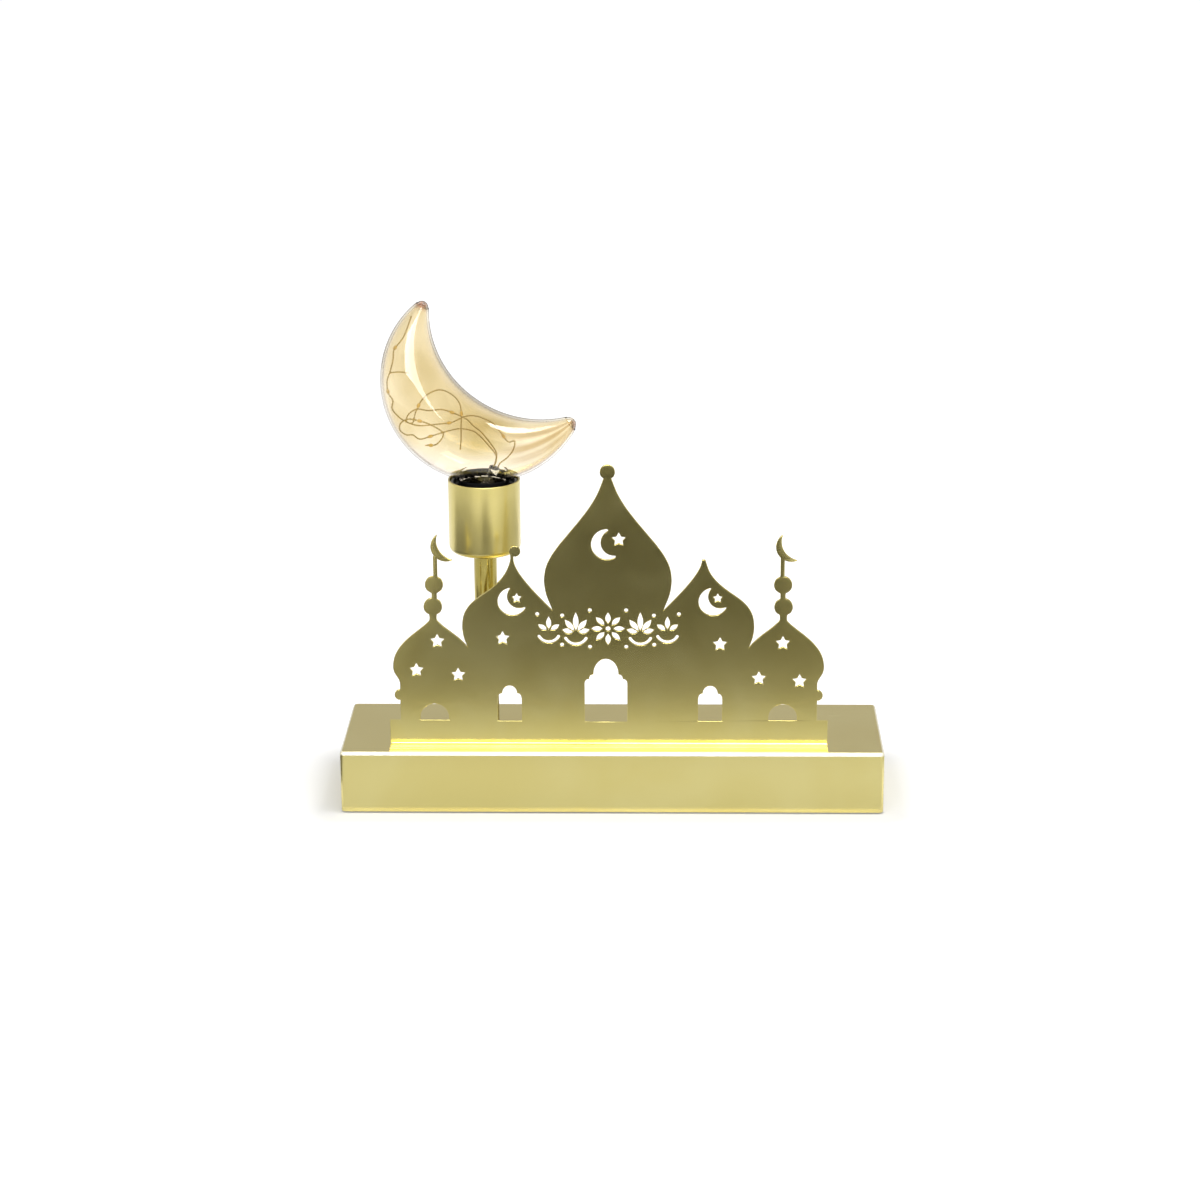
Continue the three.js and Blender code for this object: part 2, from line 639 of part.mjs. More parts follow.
// Crescent between two circles, its horns ended by small round tips
function crescent(x, z, { outer, inner, offset, axis, tip }) {
  const facing = THREE.MathUtils.degToRad(axis);
  const span = THREE.MathUtils.degToRad(tip);
  const reach = offset * Math.cos(span) + Math.sqrt(inner ** 2 - (offset * Math.sin(span)) ** 2);
  const at = (radius, angle) => [x + radius * Math.cos(angle), z + radius * Math.sin(angle)];
  const [ix, iz] = at(offset, facing);
  const innerAngle = (point) => Math.atan2(point[1] - iz, point[0] - ix);
  const beyond = (angle, turn) => at((outer + reach) / 2 + 0.1, angle + (turn * (outer - reach)) / outer);
  const [start, end] = [facing + span, facing + 2 * Math.PI - span];
  const [innerEnd, innerStart] = [at(reach, end), at(reach, start)];
  const shape = new THREE.Shape();
  shape.absarc(x, z, outer, start, end, false);
  shape.quadraticCurveTo(...beyond(end, 1), ...innerEnd);
  shape.absarc(ix, iz, inner, innerAngle(innerEnd), innerAngle(innerStart), true);
  shape.quadraticCurveTo(...beyond(start, -1), ...at(outer, start));
  return shape;
}

function star(x, z, radius) {
  const shape = new THREE.Shape();
  for (let i = 0; i < 10; i += 1) {
    const angle = (Math.PI * (i + 2.5)) / 5;
    const reach = i % 2 ? radius * starWaist : radius;
    const corner = [x + reach * Math.cos(angle), z + reach * Math.sin(angle)];
    if (i === 0) shape.moveTo(...corner);
    else shape.lineTo(...corner);
  }
  return shape;
}

// Arched opening: straight jambs, small lobes stepping in, then a round head
function archway(x, { half, sill, spring, lobes = [], top }) {
  const steps = [[half, spring], ...lobes];
  const [headHalf, headSpring] = steps[steps.length - 1];
  const shape = new THREE.Shape();
  shape.moveTo(x - half, sill);
  shape.lineTo(x + half, sill);
  shape.lineTo(x + half, spring);
  for (let i = 1; i < steps.length; i += 1) {
    shape.quadraticCurveTo(x + steps[i - 1][0], steps[i][1], x + steps[i][0], steps[i][1]);
  }
  shape.absellipse(x, headSpring, headHalf, top - headSpring, 0, Math.PI, false, 0);
  for (let i = steps.length - 1; i > 0; i -= 1) {
    shape.quadraticCurveTo(x - steps[i - 1][0], steps[i][1], x - steps[i - 1][0], steps[i - 1][1]);
  }
  return shape;
}

// Leaf from a point outwards, both sides curved
function petal(x, z, inner, length, width, degrees) {
  const angle = THREE.MathUtils.degToRad(degrees);
  const along = [Math.cos(angle), Math.sin(angle)];
  const at = (u, v) => [x + u * along[0] - v * along[1], z + u * along[1] + v * along[0]];
  const shape = new THREE.Shape();
  shape.moveTo(...at(inner, 0));
  shape.quadraticCurveTo(...at(inner + length * 0.45, -width), ...at(inner + length, 0));
  shape.quadraticCurveTo(...at(inner + length * 0.45, width), ...at(inner, 0));
  return shape;
}

function bowedSlit(x, z, radius, width, halfAngle) {
  const half = THREE.MathUtils.degToRad(halfAngle);
  const [from, to] = [1.5 * Math.PI - half, 1.5 * Math.PI + half];
  const end = (angle) => [x + radius * Math.cos(angle), z + radius * Math.sin(angle)];
  const shape = new THREE.Shape();
  shape.absarc(x, z, radius + width / 2, from, to, false);
  shape.absarc(...end(to), width / 2, to, to + Math.PI, false);
  shape.absarc(x, z, radius - width / 2, to, from, true);
  shape.absarc(...end(from), width / 2, from - Math.PI, from, false);
  return shape;
}

function foliateBand() {
  const cuts = [through(circle(0, bandHeight, rosette.hub), 5)];
  for (let i = 0; i < rosette.petals; i += 1) {
    const degrees = (360 * i) / rosette.petals;
    cuts.push(through(petal(0, bandHeight, rosette.inner, rosette.length, rosette.width, degrees), 3));
  }
  for (const side of [-1, 1]) {
    for (const { x, dz, inner, lengths, spread, width } of sprays) {
      const z = bandHeight + dz;
      lengths.forEach((length, i) => {
        const degrees = 90 + spread * (i / (lengths.length - 1) - 0.5);
        cuts.push(through(petal(side * x, z, inner, length, width, degrees), 3));
      });
      cuts.push(through(bowedSlit(side * x, z, spraySlit.radiusOver + Math.min(...lengths) / 2, spraySlit.width,
        spraySlit.halfAngle), 5));
    }
    for (const [x, dz] of bandDots) cuts.push(through(circle(side * x, bandHeight + dz, bandDotRadius), 4));
  }
  return cuts;
}

function finial({ side, inwards, crescentX }) {
  const axis = side * endDome.axis;
  const rodX = axis - side * inwards;
  const highX = (axis + rodX) / 2;
  const [low, high] = endBalls;
  const rodTopHeight = finialCrescent.height - finialCrescent.outer + 3;
  return [
    rectangle(axis - endDome.tip[0], axis + endDome.tip[0], endDome.tip[1] - 1, low.height),
    circle(axis, low.height, low.radius),
    rectangle(highX - finialNeckHalf, highX + finialNeckHalf, low.height, high.height),
    circle(highX, high.height, high.radius),
    rectangle(rodX - finialRodHalf, rodX + finialRodHalf, high.height, rodTopHeight),
    crescent(crescentX, finialCrescent.height, finialCrescent),
  ];
}

// Foot of the panel: bent forward along its whole length
function bentFoot() {
  const [r, t] = [bendRadius, panelSheet];
  const profile = new THREE.Shape();
  profile.moveTo(panelFront - flangeReach, 0);
  profile.lineTo(panelFront - r, 0);
  profile.absarc(panelFront - r, r + t, r + t, 1.5 * Math.PI, 2 * Math.PI, false);
  profile.lineTo(panelBack, stripHeight);
  profile.lineTo(panelFront, stripHeight);
  profile.lineTo(panelFront, r + t);
  profile.absarc(panelFront - r, r + t, r, 2 * Math.PI, 1.5 * Math.PI, true);
  profile.lineTo(panelFront - flangeReach, t);
  return new THREE.ExtrudeGeometry(profile, { depth: 2 * stripHalf, bevelEnabled: false, curveSegments: 3 })
    .applyMatrix4(new THREE.Matrix4().set(0, 0, 1, panelShift - stripHalf, 1, 0, 0, 0, 0, 1, 0, baseTop, 0, 0, 0, 1));
}

function mosquePanel() {
  const foot = bendRadius + panelSheet + 1;
  const inner = (dome) => ({ ...dome, axis: -dome.axis });
  const towers = [-1, 1].flatMap((side) => [
    halfTower(centreDome, side, foot),
    halfTower(sideDome, side, foot),
    innerHalf(sideDome, innerFall, side, foot),
    halfTower(endDome, side, foot),
    halfTower(inner(endDome), -side, foot),
  ]);
  const wallTop = (endDome.waist[1] + endDome.belly[1]) / 2;
  const outline = [
    rectangle(-columnHalf, columnHalf, foot, wallTop),
    circle(-columnHalf, bumpHeight, bumpRadius),
    circle(columnHalf, bumpHeight, bumpRadius),
    rectangle(-centreDome.tip[0], centreDome.tip[0], centreDome.tip[1] - 1, centreBall.height),
    circle(0, centreBall.height, centreBall.radius),
    rectangle(-sideDome.axis - sideDome.tip[0], -sideDome.axis + sideDome.tip[0], sideDome.tip[1] - 1, sideBall.height),
    circle(sideBall.shift - sideDome.axis, sideBall.height, sideBall.radius),
    ...finialLeans.flatMap(finial),
  ];
  const body = join(bentFoot(), ...towers.map((shape) => sheetOf(shape, 8)), ...outline.map((shape) => sheetOf(shape)));
  const cuts = [
    crescent(centreCrescent.x, centreCrescent.height, centreCrescent),
    star(centreStar.x, centreStar.height, centreStar.radius),
    ...sideCrescentXs.flatMap((x) => [
      crescent(x, sideCrescentHeight, sideCrescent),
      star(x + sideStar.dx, sideCrescentHeight + sideStar.dz, sideStar.radius),
    ]),
    ...wallStars.map(([x, z]) => star(x, z, wallStarRadius)),
    archway(-endWindow.x, endWindow),
    archway(endWindow.x, endWindow),
    ...sideWindowXs.map((x) => archway(x, sideWindow)),
    archway(doorway.x, doorway),
  ];
  return cut(body, ...cuts.map((shape) => through(shape)), ...foliateBand());
}

// Nut: a hexagon with a round hole, from z0 up
function nut(z0, height) {
  const hexagon = new THREE.Shape();
  const cornerRadius = nutAcrossFlats / Math.sqrt(3);
  for (let i = 0; i < 6; i += 1) {
    const corner = [cornerRadius * Math.cos((i * Math.PI) / 3), cornerRadius * Math.sin((i * Math.PI) / 3)];
    if (i === 0) hexagon.moveTo(...corner);
    else hexagon.lineTo(...corner);
  }
  hexagon.holes.push(circle(0, 0, rodRadius + fitGap));
  return new THREE.ExtrudeGeometry(hexagon, { depth: height, bevelEnabled: false, curveSegments: 12 })
    .translate(0, 0, z0);
}

function lampCup() {
  const quarter = (radius, steps, from, to, r, z) => Array.from({ length: steps + 1 }, (_, i) => {
    const angle = from + ((to - from) * i) / steps;
    return [r + radius * Math.cos(angle), z + radius * Math.sin(angle)];
  });
  const innerCorner = cupCornerRadius - cupWall;
  const hole = rodRadius + fitGap;
  return turned([
    [hole, cupBottom],
    ...quarter(cupCornerRadius, 3, -Math.PI / 2, 0, cupRadius - cupCornerRadius, cupBottom + cupCornerRadius),
    [cupRadius, cupRim],
    [cupRadius - cupWall, cupRim],
    ...quarter(innerCorner, 3, 0, -Math.PI / 2, cupRadius - cupCornerRadius, cupBottom + cupCornerRadius),
    [hole, cupFloor],
  ], 36);
}

function lampholderBody() {
  const outer = cupRadius - cupWall - fitGap;
  return turned([
    [rodRadius + fitGap, holderBottom],
    [outer, holderBottom],
    [outer, holderTop - 0.6],
    [outer - 0.6, holderTop],
    [outer - holderLipWall, holderTop],
    [outer - holderLipWall, holderTop - holderLipDepth],
    [holderBore, holderTop - holderLipDepth],
    [holderBore, blockBottom],
    [terminalBore, blockBottom],
    [terminalBore, rodTop],
    [rodRadius + fitGap, rodTop],
  ], 24);
}

function contactBlock() {
  const body = disc(holderBore - fitGap, blockBottom, blockTop, 24);
  const hole = (x) => disc(lugRadius + fitGap, blockBottom - 1, blockTop + 1, 12).translate(x, 0, 0);
  return cut(body, hole(0), hole(lugFromAxis));
}

// Rolled thread as ridges of a thin wall, between two heights
function threadWall(mean, depth, z0, z1, ridges) {
  return Array.from({ length: 2 * ridges + 1 }, (_, i) => {
    const side = i % 2 ? 1 : -1;
    return [mean + (side * depth) / 2, z0 + ((z1 - z0) * i) / (2 * ridges)];
  });
}

function holderShell() {
  const inner = capThreadRadius + looseGap + threadDepth / 2;
  const [foot, top] = [blockTop + contactMetal, blockTop + shellHeight];
  const inside = threadWall(inner, threadDepth, foot, top, threadRidges);
  const outside = threadWall(inner + contactMetal, threadDepth, foot, top, threadRidges).reverse();
  const flangeInner = lugFromAxis - lugRadius - 1;
  const wall = turned([[flangeInner, blockTop], [flangeInner, foot], ...inside, ...outside,
    [inner + contactMetal, blockTop]], 20);
  const lug = disc(lugRadius, lugBottom, blockTop + contactMetal / 2, 12)
    .translate(lugFromAxis, 0, 0);
  return join(wall, lug);
}

function centreContact() {
  return turned([[0, lugBottom], [lugRadius, lugBottom], [lugRadius, blockTop],
    [3.4, blockTop], [3.4, blockTop + contactMetal], [1.8, contactTop], [0, contactTop]], 16);
}

function capTip() {
  return turned([[0, capTipBottom], [tipRadius - 0.8, capTipBottom], [tipRadius, capTipBottom + 0.5],
    [tipRadius, insulatorBottom], [0, insulatorBottom]], 20);
}

function capInsulator() {
  return turned([[0, insulatorBottom], [tipRadius + 0.8, insulatorBottom],
    [capThreadRadius - threadDepth - 1, capBottom], [0, capBottom]], 24);
}

function bulbCap() {
  const mean = capThreadRadius - threadDepth / 2;
  const outside = threadWall(mean, threadDepth, capBottom, skirtBottom, 3);
  const inside = threadWall(mean - capMetal, threadDepth, capBottom + capMetal, skirtBottom, 3).reverse();
  return turned([
    [capThreadRadius - threadDepth - 4, capBottom],
    ...outside,
    [capSkirtRadius, skirtBottom + 0.4],
    [capSkirtRadius, skirtTop],
    [capSkirtRadius - capMetal, skirtTop],
    [capSkirtRadius - capMetal, skirtBottom + capMetal],
    ...inside,
    [capThreadRadius - threadDepth - 4, capBottom + capMetal],
  ], 20);
}

// The crescent's spine: at each angle round the outer circle, the ball that touches both circles
function moonBall(angle) {
  const offset = moonInnerRadius + moonThickness - moonRadius;
  const facing = Math.cos(angle) * offset;
  const room = moonRadius ** 2 + offset ** 2 - moonInnerRadius ** 2 - 2 * moonRadius * facing;
  const radius = room / (2 * (moonRadius + moonInnerRadius - facing));
  const direction = angle + THREE.MathUtils.degToRad(moonAxis);
  const reach = moonRadius - radius;
  const centre = new THREE.Vector3(reach * Math.cos(direction) + moonShift, 0, reach * Math.sin(direction) + moonCentre);
  return { centre, radius };
}

function moonBody(shrink) {
  const start = THREE.MathUtils.degToRad(moonTipAngles[0]);
  const span = THREE.MathUtils.degToRad(360 - moonTipAngles[0] - moonTipAngles[1]);
  const angleAt = (i) => start + span * (0.5 - 0.5 * Math.cos((Math.PI * i) / (moonStations - 1)));
  const ringAt = (centre, along, radius) => {
    const out = new THREE.Vector3(along.z, 0, -along.x);
    return Array.from({ length: moonSides }, (_, k) => {
      const turn = (2 * Math.PI * k) / moonSides;
      return centre.clone().addScaledVector(out, radius * Math.cos(turn))
        .add(new THREE.Vector3(0, radius * Math.sin(turn), 0));
    });
  };
  const station = (angle) => {
    const [ball, before, after] = [angle, angle - 0.001, angle + 0.001].map(moonBall);
    const along = after.centre.clone().sub(before.centre);
    const slope = (after.radius - before.radius) / along.length();
    return { centre: ball.centre, radius: ball.radius - shrink, along: along.normalize(), slope };
  };
  // The circle along which the ball touches the skin round it
  const touch = ({ centre, radius, along, slope }) =>
    ringAt(centre.clone().addScaledVector(along, -slope * radius), along, radius * Math.sqrt(1 - slope ** 2));
  const tip = ({ centre, radius, along }, sign) => moonTipProfile.map(([length, width]) =>
    ringAt(centre.clone().addScaledVector(along, sign * radius * length), along, radius * width));
  const stations = Array.from({ length: moonStations }, (_, i) => station(angleAt(i)));
  return loft([
    ...tip(stations[0], -1).reverse(),
    ...stations.map(touch),
    ...tip(stations[moonStations - 1], 1),
  ]);
}

function moonEnvelope() {
  const neck = (shrink, bottom) => turned([
    [0, bottom],
    [neckRadius - shrink, bottom],
    [neckRadius - shrink, moonBottom - 1.5],
    [flareRadius - shrink, moonBottom + 4],
    [flareRadius - shrink, moonBottom + 9],
    [0, moonBottom + 9],
  ], 32);
  const outside = union([moonBody(0), neck(0, neckBottom)]);
  const inside = union([moonBody(glassWall), neck(glassWall, neckBottom - 1)]);
  return toGeometry(outside.subtract(inside));
}

// Glass press: a flare in the neck and a leaning stem with a flattened head
function glassMount() {
  const stem = turned([[0, 1.6], [mountRadius + 1.4, 1.6], [mountRadius, 4], [mountRadius * 0.8, mountHeight - 3],
    [mountRadius, mountHeight - 1.5], [mountRadius * 0.8, mountHeight], [0, mountHeight]], 14);
  stem.applyMatrix4(mountPlace());
  return join(disc(mountDiscRadius, neckBottom, mountFoot, 20), stem);
}

function mountPlace() {
  const lean = new THREE.Matrix4().makeRotationY(THREE.MathUtils.degToRad(mountLean));
  return lean.setPosition(mountSide, 0, mountFoot);
}

// Where a wire leaves the press: beside the middle of its head, then straight on
function mountExit(u, v) {
  return [fitGap, 2.4].map((above) => new THREE.Vector3(u, v, mountHeight + above).applyMatrix4(mountPlace()));
}

// Fairy wires: where each leaves the press, then points chosen by hand from the lamp's axis and the moon's centre
const fairyRoutes = [
  {
    exit: [-0.9, -1.3],
    beads: [0.3, 0.62, 0.86],
    points: [
      [7.2, -1.8, -40], [4.4, -2.5, -34.6], [-0.8, -4, -27.4], [-5, -5.5, -23.4],
      [-8.3, -6.5, -19.7], [-15, -7, -16.1], [-21.7, -6, -14.2], [-29.2, -5, -15], [-35.4, -4.5, -14.3],
      [-40.2, -3.2, -17.6], [-41.6, -1, -22.3], [-38.6, 1.6, -23.7], [-37, 3.4, -18.5], [-33.8, 5, -12.2],
      [-29.8, 6, -8.4], [-23.4, 6.6, -6.3], [-16.7, 6.6, -9.1], [-13, 6, -13.6], [-12, 5, -19.2], [-12.2, 3.6, -25.6],
      [-12.3, 2.5, -32.9], [-12.8, 1.5, -38.7],
    ],
  },
  {
    exit: [-0.6, 1.4],
    beads: [0.42, 0.74, 0.97],
    points: [
      [6.6, 2.4, -42], [2.4, 4.2, -36.8], [-2.2, 6, -32.1], [-6, 7.6, -29.7],
      [-13.3, 8.6, -28.7], [-21.7, 8, -30.4], [-28.4, 6, -32.1], [-35.1, 3, -33.2], [-38.6, 0, -30],
      [-41.6, -3, -29.2], [-45, -4.4, -26], [-44.4, -4.6, -22.1], [-40, -4.8, -19.8], [-33, -6.8, -20.6],
      [-27, -8.6, -22.4], [-21, -10, -26.6], [-24.8, -9, -32.7], [-31.2, -6.4, -34.1],
    ],
  },
  {
    exit: [1.6, 0],
    beads: [0.17, 0.4, 0.71, 0.87],
    points: [
      [13.4, -1.2, -42], [16.4, -1, -37.7], [17, 0.4, -33.5], [13.6, 1.6, -34.3], [9.6, 3.6, -29.8],
      [5.6, 6, -25.3], [0.8, 8, -23], [-5.6, 9.6, -21.5], [-11, 10.6, -22.4], [-17.4, 11.2, -25.6],
      [-26.7, 10.6, -26.8], [-36, 8.2, -26.9], [-42, 4.4, -24], [-46.6, 0.4, -19.4], [-49.5, 0, -15],
      [-48.9, 0.5, -10.9], [-51.4, 1, -6.7], [-51.9, 1.5, -0.1], [-50.2, 2, 4.9], [-48.3, 2, 11.8],
      [-47.6, 1.6, 17.2], [-42.8, 1, 23.4], [-39.6, 0.5, 30.4], [-37.6, 0.2, 36],
    ],
    twig: [[-50.4, 2, 4.3], [-45.2, 2.2, 4.7], [-40, 1.8, 4.3]],
  },
];

function fairyWire({ exit, points, beads, twig = [] }) {
  const inMoon = ([x, y, z]) => new THREE.Vector3(x, y, z + moonCentre);
  const route = [...mountExit(...exit), ...points.map(inMoon)];
  const path = new THREE.CatmullRomCurve3(route, false, 'centripetal');
  const string = tube(path, fairyWireRadius, 5, route.length * 2);
  const drops = beads.map((t) => {
    const place = path.getPointAt(t);
    const turn = new THREE.Quaternion().setFromUnitVectors(new THREE.Vector3(0, 1, 0), path.getTangentAt(t));
    return new THREE.SphereGeometry(beadRadius, 6, 4).scale(1, beadLength / 2 / beadRadius, 1)
      .applyQuaternion(turn).translate(place.x, place.y, place.z);
  });
  const side = twig.length ? [tube(new THREE.CatmullRomCurve3(twig.map(inMoon)), fairyWireRadius, 5, 4)] : [];
  return join(string, ...drops, ...side);
}

function addLamp() {
  const rodBottom = baseTop - rodBelow;
  const bore = rodRadius + fitGap;
  add('stem_tube', ring(stemRadius, stemRadius - stemWall, baseTop, cupBottom), gold, lamp);
  add('threaded_rod', ring(rodRadius, rodBore, rodBottom, rodTop, 24), steel, lamp);
  add('base_washer', ring(washerRadius, bore, sheetUnderside - washerThickness, sheetUnderside), steel, lamp);
  add('base_nut', nut(sheetUnderside - washerThickness - baseNutHeight, baseNutHeight), steel, lamp);
  add('lamp_cup', lampCup(), gold, lamp);
  add('cup_washer', ring(washerRadius, bore, cupFloor, cupFloor + washerThickness), steel, lamp);
  add('cup_nut', nut(cupFloor + washerThickness, cupNutHeight), steel, lamp);
  add('lampholder_body', lampholderBody(), blackPlastic, lamp);
  add('contact_block', contactBlock(), clearGlass, lamp);
  add('holder_shell', holderShell(), brass, lamp);
  add('centre_contact', centreContact(), brass, lamp);
  add('cap_tip', capTip(), nickel, lamp);
  add('cap_insulator', capInsulator(), blackPlastic, lamp);
  add('bulb_cap', bulbCap(), nickel, lamp);
  add('glass_mount', glassMount(), clearGlass, lamp);
  fairyRoutes.forEach((route, i) => add(`fairy_wire_${i + 1}`, fairyWire(route), copper, lamp));
  add('moon_envelope', moonEnvelope(), glass, lamp);
}

// Leads: points chosen by hand between the lugs, the switch and the rod's two channels
function addLeads() {
  const pinTop = plateTop + switchHeight + switchPinHeight + fitGap;
  const [pinIn, pinOut] = [switchX + pinSpacing / 2, switchX - pinSpacing / 2];
  const lugZ = lugHeight + contactPlate / 2;
  const [leftLug, rightLug] = [boxLeft - solderLug - fitGap, boxRight + solderLug + fitGap];
  const rodFoot = baseTop - rodBelow;
  const [leadEnd, leadRun] = [lugBottom - fitGap, (rodTop + blockBottom) / 2];
  const lead = (points, steps) => wire(points, leadRadius, 5, steps);
  add('lead_switch', lead([
    [leftLug, -cellPitch, lugZ], [leftLug - 5, -cellPitch, lugZ + 0.2], [leftLug - 11, -12, lugZ + 3],
    [leftLug - 17, -6, lugZ + 5], [pinIn + 1, -1.6, pinTop + 6], [pinIn, 0, pinTop + 3], [pinIn, 0, pinTop],
  ], 24), redSleeve);
  const liveX = lampX - leadFromAxis;
  add('lead_live', lead([
    [pinOut, 0, pinTop], [pinOut, 0, pinTop + 3], [pinOut - 3, -0.4, pinTop + 6], [-34, -2, pinTop + 6],
    [-48, -4, pinTop + 3], [-60, -5, 13], [-67, -4.6, 12], [liveX, -2.6, 15], [liveX, -0.4, 22],
    [liveX, 0, rodFoot], [liveX, 0, (rodFoot + rodTop) / 2], [liveX, 0, rodTop - 4], [liveX, 0, rodTop],
    [lampX - 0.5, 0, leadRun], [lampX, 0, leadEnd],
  ], 40), redSleeve);
  const returnX = lampX + leadFromAxis;
  const overBox = boxTop + leadRadius + looseGap;
  add('lead_return', lead([
    [rightLug, cellPitch, lugZ], [rightLug + 4, cellPitch, lugZ + 0.2], [rightLug + 8, 15.8, lugZ + 3.5],
    [rightLug + 6, 16.4, overBox + 1], [rightLug, 16.4, overBox + 1.4], [boxRight - 10, 16, overBox],
    [bayX, 15, overBox], [boxLeft, 14, overBox], [boxLeft - 12, 12, overBox - 4], [-20, 9, 13],
    [-45, 7, 9], [-60, 6, 8], [-66, 4.6, 9.5], [returnX, 2.4, 15], [returnX, 0.4, 22],
    [returnX, 0, rodFoot], [returnX, 0, (rodFoot + rodTop) / 2], [returnX, 0, rodTop - 4], [returnX, 0, rodTop],
    [returnX + 1, 0, (rodTop + leadRun) / 2], [lampX + lugFromAxis - 4, 0, leadRun],
    [lampX + lugFromAxis - 1, 0, leadRun], [lampX + lugFromAxis, 0, leadEnd],
  ], 54), blackSleeve);
}

add('base_shell', baseShell(), gold);
add('mosque_panel', mosquePanel(), gold);
add('bottom_plate', bottomPlate(), blackPlastic);
cornersOf(footFromEnd, footFromSide).forEach(([x, y], i) => add(`foot_${i + 1}`, foot().translate(x, y, 0), rubber));
coverScrews.forEach(([x, y], i) => add(`cover_screw_${i + 1}`, screw(screwLength).translate(x, y, plateBottom), steel));
boxScrews.forEach(([x, y], i) => add(`box_screw_${i + 1}`, screw(screwLength).translate(x, y, plateBottom), steel));
addBatteryBay();
addSwitch();
addLeads();
addLamp();

export default stand;
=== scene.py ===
# Table light with a glass moon behind a pierced mosque silhouette: finishes, fine surfaces and stage.
# Metres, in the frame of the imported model. -Y is the front.
import json
import math

import bmesh
import bpy
from mathutils import Matrix, Vector

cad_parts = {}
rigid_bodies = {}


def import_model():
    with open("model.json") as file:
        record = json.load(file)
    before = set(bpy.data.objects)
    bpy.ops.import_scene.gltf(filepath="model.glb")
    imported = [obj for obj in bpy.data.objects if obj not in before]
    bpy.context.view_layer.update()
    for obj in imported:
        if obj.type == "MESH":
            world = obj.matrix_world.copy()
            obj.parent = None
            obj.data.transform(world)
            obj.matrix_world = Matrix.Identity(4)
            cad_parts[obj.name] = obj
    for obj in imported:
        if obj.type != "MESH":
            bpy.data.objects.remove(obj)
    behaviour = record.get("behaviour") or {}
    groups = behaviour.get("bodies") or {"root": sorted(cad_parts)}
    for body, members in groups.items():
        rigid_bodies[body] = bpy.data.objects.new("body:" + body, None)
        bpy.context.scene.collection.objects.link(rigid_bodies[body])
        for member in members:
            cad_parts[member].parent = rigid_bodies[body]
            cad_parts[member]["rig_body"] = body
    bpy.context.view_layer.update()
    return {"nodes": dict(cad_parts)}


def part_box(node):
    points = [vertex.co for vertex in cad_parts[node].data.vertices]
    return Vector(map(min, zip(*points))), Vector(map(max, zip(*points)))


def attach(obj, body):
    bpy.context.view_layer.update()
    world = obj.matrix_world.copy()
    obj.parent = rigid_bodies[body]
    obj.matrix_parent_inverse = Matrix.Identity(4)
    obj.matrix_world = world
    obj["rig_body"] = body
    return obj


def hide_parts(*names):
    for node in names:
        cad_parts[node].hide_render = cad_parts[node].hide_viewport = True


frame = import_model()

nodes = frame["nodes"]
MM = 0.001
TAU = 2 * math.pi

# Gold sheet: panel with its bent foot, base, cup and stem. Where an outline turns by more than a corner's
# turn, or a side is long, it stays as it is, and the rest is run through smoothly
PANEL_THICK = 1.5 * MM
PANEL_BEND = 1.0 * MM
BEND_MIDDLE = PANEL_BEND + PANEL_THICK / 2
BEND_LENGTH = math.pi / 2 * BEND_MIDDLE
SHEET_EDGE = 0.18 * MM
CORNER_TURN = math.radians(48)
LONG_SIDE = 14 * MM
OUTLINE_STEP = 0.8 * MM
BEND_STEPS = 8
FACES_FRONT = 0.999
CUT_FACING = 0.3
BASE_BEND = 2.0 * MM
# Slopes of the faces on the base's top bends that get the painted highlight
BEND_HIGHLIGHT_FACING = (0.15, 0.97)
BASE_EDGE = 0.2 * MM
CUP_WALL = 1.0 * MM
CUP_CORNER = 4.0 * MM
CUP_RIM = 0.3 * MM
STEM_WALL = 1.0 * MM
STEM_EDGE = 0.15 * MM
ROD_HOLE = 5.3 * MM

# Gaps below which places on a sheet, or the corners of a mesh or of a CAD node, are the same
SAME_PLACE = 0.01 * MM
SAME_POINT = 1e-7
SAME_CORNER = 1e-6
FLAT_TURN = math.radians(0.6)

# Lampholder and bulb cap
HOLDER_LIP = 1.6 * MM
HOLDER_LIP_DEPTH = 3.2 * MM
HOLDER_SHOULDER = 0.6 * MM
HOLDER_EDGE = 0.4 * MM
HOLDER_BORE = 15.6 * MM
HOLDER_FLOOR = 2.2 * MM
TERMINAL_BORE = 13.5 * MM
CAP_METAL = 0.4 * MM
CAP_EDGE = 0.2 * MM
CAP_STEP = 1.0 * MM
CAP_FLOOR_RING = 4.0 * MM
THREAD_HEIGHT = 10 * MM
THREAD_DEPTH = 0.8 * MM
THREAD_TURNS = 3
THREAD_FADE = 6
THREAD_ROWS = 60
CAP_SIDES = 96

# Screws, feet and cells
SEAT_GAP = 0.02 * MM
SCREW_RADIUS = 1.5 * MM
SCREW_HEAD = 1.4 * MM
SCREW_PITCH = 0.8 * MM
RECESS_REACH = 1.5 * MM
RECESS_HALF = 0.4 * MM
RECESS_DEPTH = 1.0 * MM
RECESS_ABOVE = 0.2 * MM
RECESS_TURN = 0.4
FOOT_RIM = 0.7 * MM
CELL_NUB = 1.3 * MM
CELL_NUB_RADIUS = 2.8 * MM
CELL_SLEEVE_LAP = 1.45 * MM

